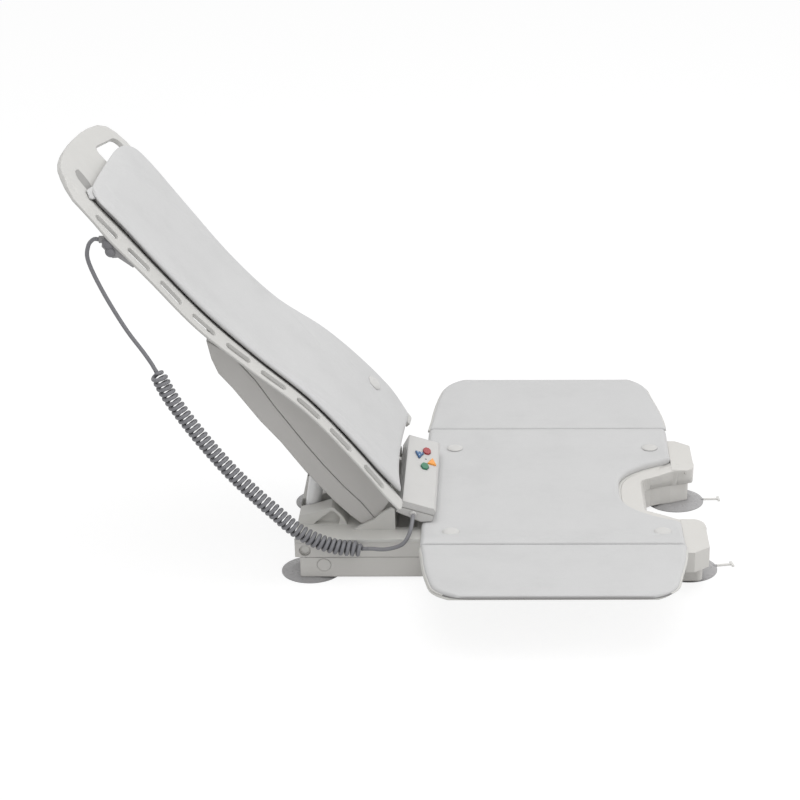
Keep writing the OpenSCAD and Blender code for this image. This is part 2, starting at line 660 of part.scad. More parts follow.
// Backrest
grip_r = 60;
grip_y = 92;
grip_t = 6.345;
lobe_t = 0.3;
foot_half = 126;
function shell_half(t) = let (d = norm(edge(back_n) - edge(t)), e = norm(edge(t) - edge(0)))
  half_at(t) * (d < grip_r ? pow(max(1 - pow(1 - d / grip_r, 2.5), 0), 0.4) : 1)
  - (e < 5 ? 5 - sqrt(max(25 - pow(5 - e, 2), 0)) : 0);
// Stations closer together at both ends of the shell
function shell_t_at(u) = back_n * (u < 0.08 ? u * u / 0.16 : u > 0.86 ? 1 - pow((1 - u) / 0.14, 2) * 0.12
  : 0.04 + (u - 0.08) / 0.78 * 0.84);
// Sideways shares of the section's points: two steps on each flange, ten between
shell_cols = 14;
function shell_y(t, v) =
  let (h = max(shell_half(t), grip_half), w = 2 * v - 1, k = abs(w), q = 10 / 14,
    c = h * (half_at(t) - rim_at(t)) / half_at(t))
  (w < 0 ? -1 : 1) * (k < q ? c * k / q : c + (h - c) * (k - q) / (1 - q));
function shell_pt(u, v) = let (t = shell_t_at(u)) back_at(t, shell_y(t, v), 0);
// Thickness, less over the flange
function shell_thick(t, y) = let (r = rim_at(t), k = min(max((abs(y) - half_at(t) + r) / r, 0), 1))
  shell_t + (flange_t - shell_t) * k;
function shell_low(u, v) = let (t = shell_t_at(u), y = shell_y(t, v)) back_at(t, y, -shell_thick(t, y));
module at_back(t, y) {
  p = back_at(t, y, 0);
  translate(p) rotate([0, back_turn(t), 0]) children();
}
module back_shell() {
  color(white) place() difference() {
    skin(54, shell_cols, function (u, v) shell_pt(u, v), function (u, v) shell_low(u, v));
    for (s = [-1, 1]) for (i = [0 : slot_n - 1])
      let (t = slot_t0 + slot_step * i) at_back(t, s * (half_at(t) - rim_at(t) / 2)) rotate(s * edge_turn(t))
        translate([0, 0, -15]) linear_extrude(30) slot2(slot_l, slot_w);
    // grip hole, and a leaf-shaped recess on the other side
    at_back(grip_t, grip_y) translate([0, 0, -30]) rotate(grip_turn) linear_extrude(60)
      round_rect(-grip_h / 2, -grip_w / 2, grip_h / 2, grip_w / 2, 12);
    at_back(leaf_at[0], leaf_at[1]) rotate(leaf_turn) translate([0, 0, -leaf_deep]) linear_extrude(20)
      intersection() { translate([0, 23]) circle(36); translate([0, -23]) circle(36); }
    // the foot is open between its two lobes
    at_back(0, 0) translate([-norm(edge(lobe_t) - edge(0)), -foot_half, -30]) cube([80, 2 * foot_half, 60]);
  }
}
slot_t0 = 0.62;
slot_step = 0.664;
grip_turn = -12;
leaf_deep = 4;
leaf_at = [6.46, -64];
leaf_turn = -58;
// Angle between the shell's side and its length
function edge_turn(t) = atan((half_at(t - 0.1) - half_at(t + 0.1)) / norm(edge(t + 0.1) - edge(t - 0.1)));
pad_t0 = 0.16;
pad_t1 = 6.37;
pad_end = [34, 62];
pad_foot = 16;
pad_seat = 0.6;
function bpad_half(t) = let (d = norm(edge(pad_t1) - edge(t)))
  half_at(t) - rim_at(t) - pad_foot * (1 - smooth(0.1, 0.7, t))
  - (d < pad_end[0] ? pad_end[1] * (1 - pow(max(1 - pow(1 - d / pad_end[0], 2.6), 0), 1 / 2.6)) : 0);
function bpad_t_at(u) = pad_t0 + (pad_t1 - pad_t0) * (u < 0.8 ? u / 0.8 * 0.9 : 1 - 0.1 * pow((1 - u) / 0.2, 2));
function bpad_up(u, v) =
  let (t = bpad_t_at(u), h = max(bpad_half(t), 30), y = (2 * ease(v) - 1) * h,
    d = min(h - abs(y), norm(edge(t) - edge(pad_t0)), norm(edge(t) - edge(pad_t1))))
  back_at(t, y, pad_seat + 3 + (back_pad_t - 3) * roll(d + 0.3, 6));
function bpad_low(u, v) =
  let (t = min(max(bpad_t_at(u), pad_t0 + 0.015), pad_t1 - 0.015), h = max(bpad_half(t), 30) - 1.2)
  back_at(t, (2 * ease(v) - 1) * h, pad_seat);
module back_pad() {
  color(shade) place() skin(20, 12, function (u, v) bpad_up(u, v), function (u, v) bpad_low(u, v));
}
// Station and sideways place of the button, and the dish's slope there
back_snap = [0.9, 106];
function back_roll(t, y) = -atan(2 * back_dish * y / pow(half_at(t) - rim_at(t), 2));
module back_snap_button() {
  color(shade) place() at_back(back_snap[0], back_snap[1]) translate([0, 0, back_pad_t - 0.4])
    rotate([-back_roll(back_snap[0], back_snap[1]), 0, 0])
    rotate_extrude() polygon([[0, 0], [snap_d / 2, 0], [snap_d / 2, 1], [snap_d / 2 - 2, 2.2],
      [snap_d / 2 - 6, 3], [0, 3.2]]);
}

// Drive housing: side outlines (x, z)
house_half = housing_w / 2;
house_gap = 0.6;
house_t0 = 0.36;
house_t1 = 3.8;
function house_front(t) = edge(t) + back_nor(t) * (section(t, house_half - wall) - shell_t - house_gap);
house_face = [for (k = [0 : 12]) house_front(house_t0 + (house_t1 - house_t0) * k / 12)];
house_back = [[-271, 316], [-266, 292], [-258, 272], [-241, 252], [-208, 207], [-183, 178],
  [-152, 136], [-118, 96], [-98, 76], [-84, 64]];
house_foot = [[-77, 61], [-64, 68]];
house_nose = [[-46, 94], [-52, 107]];
seam = [[-64, 68], [-82, 92], [-105, 116], [-130, 146], [-150, 172], [-170, 200], [-190, 228],
  [-212, 262], [-240, 296], [-271, 316]];
seam_gap = 0.8;
module front_outline() { polygon(concat(house_nose, house_face,
  [for (k = [len(seam) - 1 : -1 : 0]) seam[k] + seam_gap * [0.83, 0.55]])); }
module rear_outline() { polygon(concat([for (k = [len(seam) - 1 : -1 : 0]) seam[k]], [house_foot[0]],
  [for (k = [len(house_back) - 1 : -1 : 1]) house_back[k]])); }
// Closing strip at the top, behind the middle of the shell
function cap_at(t) = edge(t) + back_nor(t) * (section(t, 0) - shell_t - house_gap);
module housing_front() {
  color(shade) place() difference() {
    union() {
      both() pull(house_half - wall, house_half) front_outline();
      pull(-house_half + wall - eps, house_half - wall + eps) polygon([cap_at(house_t1), cap_at(house_t1 - 0.07),
        seam[len(seam) - 1] + [5, 1.6], seam[len(seam) - 1]]);
    }
    across(back_hinge, hinge_d, -house_half + wall / 2, house_half - wall / 2);
  }
}
rib_y = 34;
rib_t = 3;
// Rear wall: the back outline and the same outline moved in by the wall
function moved_in(p, k, n) =
  let (a = p[max(k - 1, 0)], b = p[min(k + 1, n)], d = unit(b - a)) p[k] + wall * [-d[1], d[0]];
house_in = [for (k = [0 : len(house_back) - 1]) moved_in(house_back, k, len(house_back) - 1)];
module housing_rear() {
  color(shade) place() difference() {
    union() {
      both() pull(house_half - wall, house_half) rear_outline();
      pull(-house_half + wall - eps, house_half - wall + eps) polygon(concat(house_back,
        [for (k = [len(house_in) - 1 : -1 : 0]) house_in[k]]));
      // ribs that carry the drive
      both() pull(rib_y, rib_y + rib_t) polygon([[-239, 253], [-206, 208], [-181, 179],
        [-150, 138], [-124, 192], [-166, 222], [-204, 262]]);
    }
    // openings of the struts
    both() pull(strut_y - tube_d / 2 - 2, strut_y + tube_d / 2 + 2)
      polygon([[-178, 168], [-150, 182], [-112, 152], [-84, 100], [-104, 72]]);
    // slots of the hinge cheeks
    both() box([-112, cheek_y - 2, 40], [-40, cheek_y + cheek_t + 2, 104]);
    across(rod_at, hinge_d, -rib_y - 10, rib_y + 10);
  }
}
drive_dir = unit([-0.66, 0.75]);
drive_turn = atan2(drive_dir[1], -drive_dir[0]);
// Local frame at the rod pivot: +x up the back, +z forward
module at_drive() {
  translate([rod_at[0], 0, rod_at[1]]) rotate([0, -90 - (90 - drive_turn) + 0, 0]) rotate([180, 0, 0]) children();
}
module drive_gearbox() {
  color(dark) place() at_drive() difference() {
    box([-16, -rib_y, -26], [44, rib_y, 10]);
    translate([0, rib_y + 1, 0]) rotate([90, 0, 0]) cylinder(d = hinge_d, h = 2 * rib_y + 2);
  }
}
module drive_motor() {
  color(metal) place() at_drive() translate([44, 0, -11.5]) rotate([0, 90, 0]) {
    cylinder(d = 34, h = 62);
    cylinder(d = 12, h = 66);
  }
}
module drive_yoke() {
  color(metal) place() across(rod_at, hinge_d, -strut_y - rod_d / 2 - 4, strut_y + rod_d / 2 + 4);
}
module control_board() {
  color([0.2, 0.4, 0.25]) place() at_drive() box([-44, -rib_y, -20], [-17, rib_y, -18]);
}
module back_hinge_pin() {
  color(metal) place() across(back_hinge, hinge_d, -house_half + wall / 2, house_half - wall / 2);
}

// Struts
module strut_frame(at, s) {
  translate([at[0], s * strut_y, at[1]]) rotate([0, strut_lean, 0]) children();
}
module strut_tube(s) {
  color(white) place() strut_frame(strut_at, s) difference() {
    union() {
      cylinder(d = tube_d, h = tube_l);
      rotate([90, 0, 0]) cylinder(d = tube_d, h = tube_d - 2, center = true);
    }
    translate([0, 0, tube_floor]) cylinder(d = tube_bore, h = tube_l);
    rotate([90, 0, 0]) cylinder(d = strut_pin_d + 2 * run_c, h = 40, center = true);
  }
}
module strut_tube_left() { strut_tube(1); }
module strut_tube_right() { strut_tube(-1); }
module strut_rod(s) {
  color(metal) place() strut_frame(rod_at, s) difference() {
    union() {
      translate([0, 0, -rod_l]) cylinder(d = rod_d, h = rod_l);
      rotate([90, 0, 0]) cylinder(d = hinge_d + 6, h = rod_d, center = true);
    }
    rotate([90, 0, 0]) cylinder(d = hinge_d + 2 * run_c, h = 40, center = true);
  }
}
module strut_rod_left() { strut_rod(1); }
module strut_rod_right() { strut_rod(-1); }

// Handset
module hand_frame() {
  translate([hand_at[0], 0, hand_at[1]]) rotate([0, hand_slope, 0]) children();
}
module hand_cut(z0, z1) { translate([-60, z0]) square([120, z1 - z0]); }
function shrink(p, w) = let (c = [2, -10]) [for (q = p) q - [sign(q[0] - c[0]) * w, sign(q[1] - c[1]) * w]];
hand_in = shrink(hand_sec, hand_wall);
key_spots = [[9.5, 68], [-0.5, 51], [17.8, 34.5], [8.3, 16]];
module handset_lower() {
  color(white) place() hand_frame() {
    difference() {
      pull(-hand_half, hand_half) intersection() { polygon(hand_sec); hand_cut(-40, hand_seam - hand_gap); }
      pull(-hand_half + hand_wall, hand_half - hand_wall) intersection() {
        polygon(hand_in);
        hand_cut(-40, 0);
      }
    }
    // gland of the cord
    translate([0, -hand_half, 0]) gland();
  }
}
module gland() {
  rotate([0, -hand_slope, 0]) translate([-15 - hand_at[0], 0, 81 - hand_at[1]]) rotate([90, 0, 0])
    cylinder(d = cord_d + 4, h = 6);
}
module handset_upper() {
  color(white) place() hand_frame() difference() {
    pull(-hand_half, hand_half) intersection() { polygon(hand_sec); hand_cut(hand_seam, 1); }
    pull(-hand_half + hand_wall, hand_half - hand_wall) intersection() {
      polygon(hand_in);
      hand_cut(-40, 1);
    }
    for (k = [0 : 3]) translate([key_spots[k][0], key_spots[k][1], -6])
      key_shape(k, key_d + 2 * key_gap, 10);
    translate([lamp_at[0], lamp_at[1], -6]) cylinder(d = 3, h = 10);
  }
}
// Outlines of the four keys: eight-sided, two three-sided, six-sided
function ring(n, d, turn, x) = [for (i = [0 : n - 1]) let (a = turn + 360 * i / n)
  [x + d / 2 * cos(a), key_long * d / 2 * sin(a)]];
module key_shape(k, d, h) {
  linear_extrude(h) polygon(k == 0 ? ring(8, d, 22.5, 0) : k == 1 ? ring(3, d * 1.25, 270, 0) :
    k == 2 ? ring(3, d * 1.25, 90, 0) : ring(6, d, 0, 0));
}
key_foot = -4.6;
module key(k, c) {
  color(c) place() hand_frame() translate([key_spots[k][0], key_spots[k][1], key_foot])
    key_shape(k, key_d, key_h - key_foot);
}
module key_red() { key(0, [0.65, 0.18, 0.20]); }
module key_blue() { key(1, [0.12, 0.35, 0.55]); }
module key_orange() { key(2, [0.98, 0.65, 0.24]); }
module key_green() { key(3, [0.16, 0.47, 0.33]); }
module handset_lamp() {
  color(grey) place() hand_frame() translate([lamp_at[0], lamp_at[1], -7.6]) cylinder(d = 3, h = 7.8);
}
module key_board() {
  color([0.2, 0.4, 0.25]) place() hand_frame()
    box([-15.5, 8, -9.2], [19.5, hand_half - hand_wall, -7.6]);
}
module handset_battery() {
  color(dark) place() hand_frame() box([-13, -hand_half + hand_wall, -14.4], [15, 4, -5]);
}

// Cord
function tube_path(p, n) = [for (i = [0 : n]) along(p, (len(p) - 1) * i / n)];
module cord_lead() { color(grey) place() tube(tube_path(lead_pts, 16), cord_d, 10, [0, 0, 1]); }
module cord_tail() { color(grey) place() tube(tube_path(tail_pts, 18), cord_d, 10, [0, 1, 0]); }
// Curls wind round the hanging line and run in from it at both ends
curl_r = (curl_d - cord_d) / 2;
curl_rings = curl_n * 8;
curl_long = [for (k = [0 : 200]) along(curl_pts, (len(curl_pts) - 1) * k / 200)];
curl_sum = [for (k = 0, s = 0; k <= 200; k = k + 1,
  s = s + (k <= 200 ? norm(curl_long[k] - curl_long[k - 1]) : 0)) s];
function line_at(s, k = 0) = k >= 199 || curl_sum[k + 1] >= s ?
  curl_long[k] + (curl_long[k + 1] - curl_long[k]) * (s - curl_sum[k]) / (curl_sum[k + 1] - curl_sum[k])
  : line_at(s, k + 1);
curl_len = curl_sum[200];
function curl_pt(i) =
  let (f = i / curl_rings, s = cord_d * 1.2 + (curl_len - 2.4 * cord_d) * f, p = line_at(s),
    q = line_at(min(s + 2, curl_len)), o = line_at(max(s - 2, 0)), t = unit(q - o),
    r = curl_r * smooth(0, 7, i) * smooth(0, 7, curl_rings - i), a = 360 * i / 8)
  [p[0] + r * cos(a) * -t[1], cord_y + r * sin(a), p[1] + r * cos(a) * t[0]];
curl_path = concat([[curl_pts[0][0], cord_y, curl_pts[0][1]]], [for (i = [0 : curl_rings]) curl_pt(i)],
  [let (e = curl_pts[len(curl_pts) - 1]) [e[0], cord_y, e[1]]]);
curl_gap = min([for (i = [10 : curl_rings - 18]) for (j = [5 : 12])
  norm(curl_path[i] - curl_path[i + j])]) - cord_d;
module cord_curls() {
  echo(least_gap_between_curls = curl_gap);
  color(grey) place() tube(curl_path, cord_d, 6, [0, 1, 0]);
}
plug_z = shell_t - 0.6;
module cord_plug() {
  color(dark) place() {
    translate([-387, cord_y, 464]) rotate([0, 90, 0]) cylinder(d = 9, h = 8);
    at_back(5.65, cord_y) pull(-6, 6) polygon([[-13, -plug_z], [-15, -13], [-11, -17.5], [8, -17.5],
      [12, -12], [33, -plug_z - 1.4], [33, -plug_z]]);
  }
}

base_rail_left();
base_rail_right();
base_bar_rear();
base_bar_middle();
cup_front_left();
cup_front_right();
cup_rear_left();
cup_rear_right();
base_pivot_pins();
outer_arm_left();
outer_arm_right();
outer_tie();
cross_pivot_pins();
upper_glides();
inner_arm_left();
inner_arm_right();
inner_tie();
lower_glides();
seat_rail_left();
seat_rail_right();
seat_plate();
seat_apron();
rear_bracket();
seat_pivot_pins();
strut_pin();
seat_pad();
seat_snap_buttons();
flap_plate_left();
flap_pad_left();
flap_plate_right();
flap_pad_right();
back_shell();
back_pad();
back_snap_button();
housing_front();
housing_rear();
drive_gearbox();
drive_motor();
drive_yoke();
control_board();
back_hinge_pin();
strut_tube_left();
strut_tube_right();
strut_rod_left();
strut_rod_right();
handset_lower();
handset_upper();
handset_battery();
key_board();
key_red();
key_blue();
key_orange();
key_green();
handset_lamp();
cord_lead();
cord_curls();
cord_tail();
cord_plug();
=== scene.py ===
import math
from fnmatch import fnmatchcase

import bmesh
import bpy
import numpy as np
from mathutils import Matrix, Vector, noise


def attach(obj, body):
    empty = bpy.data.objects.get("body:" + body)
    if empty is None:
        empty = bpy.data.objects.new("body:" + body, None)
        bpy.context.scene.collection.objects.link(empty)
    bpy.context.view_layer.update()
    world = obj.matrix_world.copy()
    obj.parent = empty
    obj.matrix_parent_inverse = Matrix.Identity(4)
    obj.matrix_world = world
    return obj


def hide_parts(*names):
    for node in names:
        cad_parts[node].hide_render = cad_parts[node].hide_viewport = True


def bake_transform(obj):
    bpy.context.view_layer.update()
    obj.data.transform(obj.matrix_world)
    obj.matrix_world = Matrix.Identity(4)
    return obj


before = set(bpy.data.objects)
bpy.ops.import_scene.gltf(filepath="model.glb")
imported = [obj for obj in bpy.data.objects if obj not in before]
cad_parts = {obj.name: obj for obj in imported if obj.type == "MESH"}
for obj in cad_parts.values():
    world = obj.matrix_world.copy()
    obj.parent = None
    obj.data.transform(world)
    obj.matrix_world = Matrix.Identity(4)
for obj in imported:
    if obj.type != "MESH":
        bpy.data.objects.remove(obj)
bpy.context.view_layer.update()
scene = bpy.context.scene
scene.view_settings.view_transform = "Standard"

# Lengths below are millimetres measured from the rear end of the fold lines, as in the
# part's source; SHIFT brings them to the frame's origin.
SHIFT = 23.8848


def met(p):
    """Millimetres (n, 3) to metres in the frame."""
    q = np.asarray(p, float).reshape(-1, 3)
    return (q + np.array([SHIFT, 0, 0])) / 1000


def lin(c):
    """Display colour 0..255 to a linear colour."""
    s = [v / 255 for v in c]
    lit = [v / 12.92 if v <= 0.04045 else ((v + 0.055) / 1.055) ** 2.4 for v in s]
    return tuple(lit) + (1.0,)


# ---------------------------------------------------------------- camera
cam = bpy.data.objects.new("camera", bpy.data.cameras.new("camera"))
scene.collection.objects.link(cam)
cam.location = (0.12628, -2.6935, 1.2712)
cam.rotation_euler = (math.pi / 2 - 0.3801, 0, -0.005)
cam.data.sensor_width = 36
cam.data.lens = 99
cam.data.shift_x = -0.1426
cam.data.clip_end = 50
scene.camera = cam


# ---------------------------------------------------------------- materials
class Nodes:
    """A material's node tree with short helpers."""

    def __init__(self, name):
        self.m = bpy.data.materials.new(name)
        self.m.use_nodes = True
        self.t = self.m.node_tree
        self.t.nodes.clear()
        self.out = self.t.nodes.new("ShaderNodeOutputMaterial")
        self.b = self.t.nodes.new("ShaderNodeBsdfPrincipled")
        self.link(self.b.outputs[0], self.out.inputs["Surface"])
        self.co = self.t.nodes.new("ShaderNodeTexCoord").outputs["Object"]

    def link(self, a, b):
        self.t.links.new(a, b)

    def set(self, **kw):
        for k, v in kw.items():
            self.b.inputs[k.replace("_", " ")].default_value = v

    def noise(self, scale, detail=3.0, rough=0.55, stretch=None):
        n = self.t.nodes.new("ShaderNodeTexNoise")
        n.inputs["Scale"].default_value = scale
        n.inputs["Detail"].default_value = detail
        n.inputs["Roughness"].default_value = rough
        src = self.co
        if stretch:
            mp = self.t.nodes.new("ShaderNodeMapping")
            mp.inputs["Scale"].default_value = stretch
            self.link(src, mp.inputs["Vector"])
            src = mp.outputs[0]
        self.link(src, n.inputs["Vector"])
        return n.outputs["Fac"]

    def cells(self, scale):
        n = self.t.nodes.new("ShaderNodeTexVoronoi")
        n.inputs["Scale"].default_value = scale
        self.link(self.co, n.inputs["Vector"])
        return n.outputs["Distance"]

    def ramp(self, fac, stops):
        r = self.t.nodes.new("ShaderNodeValToRGB")
        e = r.color_ramp.elements
        while len(e) < len(stops):
            e.new(0.5)
        for k, (p, c) in enumerate(stops):
            e[k].position = p
            e[k].color = c if len(c) == 4 else tuple(c) + (1.0,)
        self.link(fac, r.inputs[0])
        return r.outputs[0]

    def span(self, fac, a, b, lo=0.0, hi=1.0):
        r = self.t.nodes.new("ShaderNodeMapRange")
        r.inputs["From Min"].default_value = lo
        r.inputs["From Max"].default_value = hi
        r.inputs["To Min"].default_value = a
        r.inputs["To Max"].default_value = b
        self.link(fac, r.inputs["Value"])
        return r.outputs[0]

    def mul(self, col, fac, a, b):
        """Colour times a factor spread from a to b."""
        m = self.t.nodes.new("ShaderNodeMix")
        m.data_type = "RGBA"
        m.blend_type = "MULTIPLY"
        m.inputs[0].default_value = 1.0
        self.link(col, m.inputs[6])
        g = self.ramp(fac, [(0.0, (a, a, a)), (1.0, (b, b, b))])
        self.link(g, m.inputs[7])
        return m.outputs[2]

    def math(self, op, a, b):
        n = self.t.nodes.new("ShaderNodeMath")
        n.operation = op
        for k, v in enumerate((a, b)):
            if isinstance(v, (int, float)):
                n.inputs[k].default_value = v
            else:
                self.link(v, n.inputs[k])
        return n.outputs[0]

    def edge(self, radius):
        """Rounded normal and a mask of the edges that it rounds."""
        bv = self.t.nodes.new("ShaderNodeBevel")
        bv.samples = 6
        bv.inputs["Radius"].default_value = radius
        g = self.t.nodes.new("ShaderNodeNewGeometry")
        d = self.t.nodes.new("ShaderNodeVectorMath")
        d.operation = "DOT_PRODUCT"
        self.link(bv.outputs[0], d.inputs[0])
        self.link(g.outputs["Normal"], d.inputs[1])
        return bv.outputs[0], self.span(d.outputs["Value"], 1.0, 0.0, 0.75, 0.99)

    def occlusion_shade(self, distance):
        """Ambient occlusion: low in corners that are nearer than the distance; multiplied into a
        colour, it paints shade.
        """
        a = self.t.nodes.new("ShaderNodeAmbientOcclusion")
        a.samples = 6
        a.inputs["Distance"].default_value = distance
        return a.outputs["AO"]

    def bump(self, height, strength, distance, normal=None):
        n = self.t.nodes.new("ShaderNodeBump")
        n.inputs["Strength"].default_value = strength
        n.inputs["Distance"].default_value = distance
        self.link(height, n.inputs["Height"])
        if normal is not None:
            self.link(normal, n.inputs["Normal"])
        self.link(n.outputs[0], self.b.inputs["Normal"])

    def finish(self, colour, fac, lo, hi, **settings):
        """Link the colour, and a roughness spread from lo to hi, and set the rest."""
        self.link(colour, self.b.inputs["Base Color"])
        self.link(self.span(fac, lo, hi, 0.3, 0.7), self.b.inputs["Roughness"])
        self.set(**settings)
        return self.m


def plastic(name, colour, rough=0.42, round_mm=1.6, grain=0.10, corner_shade=0.90, spec=0.4,
            near_mm=12):
    """Moulded plastic: fine eroded grain, soft edges, painted shade in the corners."""
    k = Nodes(name)
    base = lin(colour)
    lo = tuple(v * 0.965 for v in base[:3])
    col = k.ramp(k.noise(9.0, 4.0), [(0.3, lo), (0.72, base)])
    nor, rim = k.edge(round_mm / 1000)
    col = k.mul(col, rim, 1.0, 1.035)
    # Ambient occlusion times the colour: painted shade in corners and along gaps.
    if corner_shade < 1:
        col = k.mul(col, k.occlusion_shade(near_mm / 1000), corner_shade, 1.0)
    k.bump(k.noise(1400.0, 2.0, 0.6), grain, 0.0004, nor)
    return k.finish(col, k.noise(60.0, 3.0), rough - 0.05, rough + 0.07, Specular_IOR_Level=spec)


def padded_cover(name, colour):
    """Soft wipe-clean cover: pebbled skin over foam, faint mottling, painted shade in its hollows.
    """
    k = Nodes(name)
    base = lin(colour)
    lo = tuple(v * 0.955 for v in base[:3])
    hi = tuple(min(v * 1.02, 1) for v in base[:3])
    col = k.ramp(k.noise(14.0, 5.0, 0.6), [(0.28, lo), (0.5, base[:3]), (0.75, hi)])
    col = k.mul(col, k.cells(820.0), 0.975, 1.01)
    # Ambient occlusion times the colour: painted shade in the cover's folds, snaps and other
    # hollows.
    col = k.mul(col, k.occlusion_shade(0.010), 0.84, 1.0)
    pebble = k.math("MULTIPLY", k.cells(820.0), 0.7)
    grain = k.math("ADD", pebble, k.math("MULTIPLY", k.noise(2100.0, 2.0), 0.3))
    soft = k.math("ADD", k.math("MULTIPLY", k.noise(26.0, 3.0), 2.0), grain)
    k.bump(soft, 0.16, 0.0005)
    return k.finish(col, k.noise(120.0, 3.0), 0.56, 0.70, Sheen_Weight=0.12, Sheen_Roughness=0.5,
                    Specular_IOR_Level=0.3)


def rubber(name, colour, rough=0.5, grain=0.12):
    """Matt rubber: dusty patches, paler rims, painted shade in its hollows."""
    k = Nodes(name)
    base = lin(colour)
    lo = tuple(v * 0.92 for v in base[:3])
    col = k.ramp(k.noise(35.0, 5.0, 0.65), [(0.3, lo), (0.7, base)])
    nor, rim = k.edge(0.0006)
    col = k.mul(col, rim, 1.0, 1.06)
    # Ambient occlusion times the colour: painted shade in hollows, such as between the cord's
    # curls.
    col = k.mul(col, k.occlusion_shade(0.006), 0.72, 1.0)
    k.bump(k.noise(1800.0, 2.0), grain, 0.0003, nor)
    return k.finish(col, k.noise(90.0, 3.0), rough - 0.08, rough + 0.1, Specular_IOR_Level=0.35)


def cup_rubber(name, colour, pale, x_m):
    """Soft clear-grey cup: paler in its thin pull tab, which starts at x_m."""
    m = rubber(name, colour, rough=0.3)
    t = m.node_tree
    b = next(n for n in t.nodes if n.type == "BSDF_PRINCIPLED")
    was = b.inputs["Base Color"].links[0].from_socket
    co = next(n for n in t.nodes if n.type == "TEX_COORD").outputs["Object"]
    sep = t.nodes.new("ShaderNodeSeparateXYZ")
    t.links.new(co, sep.inputs[0])
    far = t.nodes.new("ShaderNodeMath")
    far.operation = "GREATER_THAN"
    t.links.new(sep.outputs["X"], far.inputs[0])
    far.inputs[1].default_value = x_m
    mix = t.nodes.new("ShaderNodeMix")
    mix.data_type = "RGBA"
    t.links.new(far.outputs[0], mix.inputs[0])
    t.links.new(was, mix.inputs[6])
    mix.inputs[7].default_value = lin(pale)
    t.links.new(mix.outputs[2], b.inputs["Base Color"])
    return m


def metal(name, colour, rough, stretch):
    """Drawn or turned metal: fine lines, a few scuffs."""
    k = Nodes(name)
    base = lin(colour)
    lo = tuple(v * 0.86 for v in base[:3])
    lines = k.noise(420.0, 3.0, 0.6, stretch)
    scuff = k.noise(24.0, 6.0, 0.7)
    col = k.mul(k.ramp(lines, [(0.3, lo), (0.7, base)]), scuff, 0.9, 1.05)
    k.bump(lines, 0.12, 0.0002, k.edge(0.0005)[0])
    return k.finish(col, lines, rough - 0.08, rough + 0.1, Metallic=1.0)


def board(name):
    """Circuit board: lacquer over copper runs."""
    k = Nodes(name)
    b = k.t.nodes.new("ShaderNodeTexBrick")
    b.inputs["Scale"].default_value = 120.0
    b.inputs["Mortar Size"].default_value = 0.03
    b.inputs["Color1"].default_value = (0.012, 0.085, 0.035, 1)
    b.inputs["Color2"].default_value = (0.016, 0.105, 0.045, 1)
    b.inputs["Mortar"].default_value = (0.05, 0.21, 0.08, 1)
    k.link(k.co, b.inputs["Vector"])
    k.link(b.outputs["Color"], k.b.inputs["Base Color"])
    k.link(k.span(k.noise(200.0), 0.25, 0.4), k.b.inputs["Roughness"])
    k.bump(b.outputs["Fac"], 0.2, 0.0001)
    return k.m


FRAME_WHITE = (218, 216, 212)
TAB_X = 0.405

WHITE = plastic("white_plastic", (222, 221, 217), round_mm=2.4, corner_shade=0.96)
# The frame and lug plastics darken hard within a few millimetres of another surface: painted shade
# of the slit between each lug and the base below it.
WHITE_SIDE = plastic("white_plastic_frame", FRAME_WHITE, rough=0.46, round_mm=2.0, corner_shade=0.55,
                     near_mm=3)
MOULD = plastic("white_plastic_apron", FRAME_WHITE, rough=0.46, round_mm=0.5, corner_shade=1.0)
LUG = plastic("white_plastic_lug", FRAME_WHITE, rough=0.46, round_mm=1.2, corner_shade=0.55, near_mm=1.5)
SHELL = plastic("white_plastic_shell", (209, 208, 205), rough=0.44, round_mm=2.2, corner_shade=1.0)
# A darker copy of the white plastic, for the housing that sits in shade: painted shade.
HOUSE = plastic("white_plastic_housing", (206, 204, 201), rough=0.44, round_mm=3.0)
HAND = plastic("white_plastic_handset", (208, 207, 205), rough=0.40, round_mm=2.2, grain=0.06)
# A whiter copy of the white plastic, so that the strut tube stays bright in the backrest's shadow:
# painted light.
TUBE = plastic("white_plastic_tube", (243, 243, 243), rough=0.2, round_mm=1.0, grain=0.03,
               corner_shade=1.0, spec=1.0)
# Grey of the plate in the grip's leaf recess: painted shade of the recess.
LEAF_SHADE = plastic("leaf_recess_shade", (160, 159, 157), rough=0.5, round_mm=1.0)
WEDGE = plastic("clip_wedge", (158, 157, 158), rough=0.46, round_mm=1.2)
# Dark grey of the flap lip's outer edge: painted shade where the plate's edge lies in shadow.
EDGE = plastic("flap_edge", (132, 131, 130), rough=0.5, round_mm=0.6)
BUTTON = plastic("snap_plastic", (212, 211, 209), rough=0.40, round_mm=0.8, grain=0.05, corner_shade=0.8)
DARK = plastic("dark_plastic", (84, 84, 88), rough=0.5, round_mm=0.6)
DOT = plastic("key_dot", (196, 214, 226), rough=0.35, round_mm=0.2, grain=0.0, corner_shade=1.0)
COVER = padded_cover("cover", (208, 208, 208))
CUP = cup_rubber("cup_rubber", (178, 177, 178), (226, 225, 222), TAB_X)
CORD = rubber("cord_rubber", (138, 138, 142), rough=0.42, grain=0.08)
PLUG = rubber("plug_rubber", (134, 133, 136), rough=0.5)
ARM = metal("arm_metal", (206, 208, 212), 0.34, (1.0, 14.0, 14.0))
PIN = metal("pin_metal", (196, 198, 202), 0.26, (10.0, 1.0, 10.0))
BOARD = board("board")
LAMP = plastic("lamp_lens", (120, 122, 126), rough=0.15, round_mm=0.4, grain=0.0, corner_shade=1.0,
               spec=0.6)
KEY_COLOURS = {"key_red": (168, 44, 50), "key_blue": (30, 92, 146), "key_orange": (250, 164, 58),
               "key_green": (36, 122, 88)}

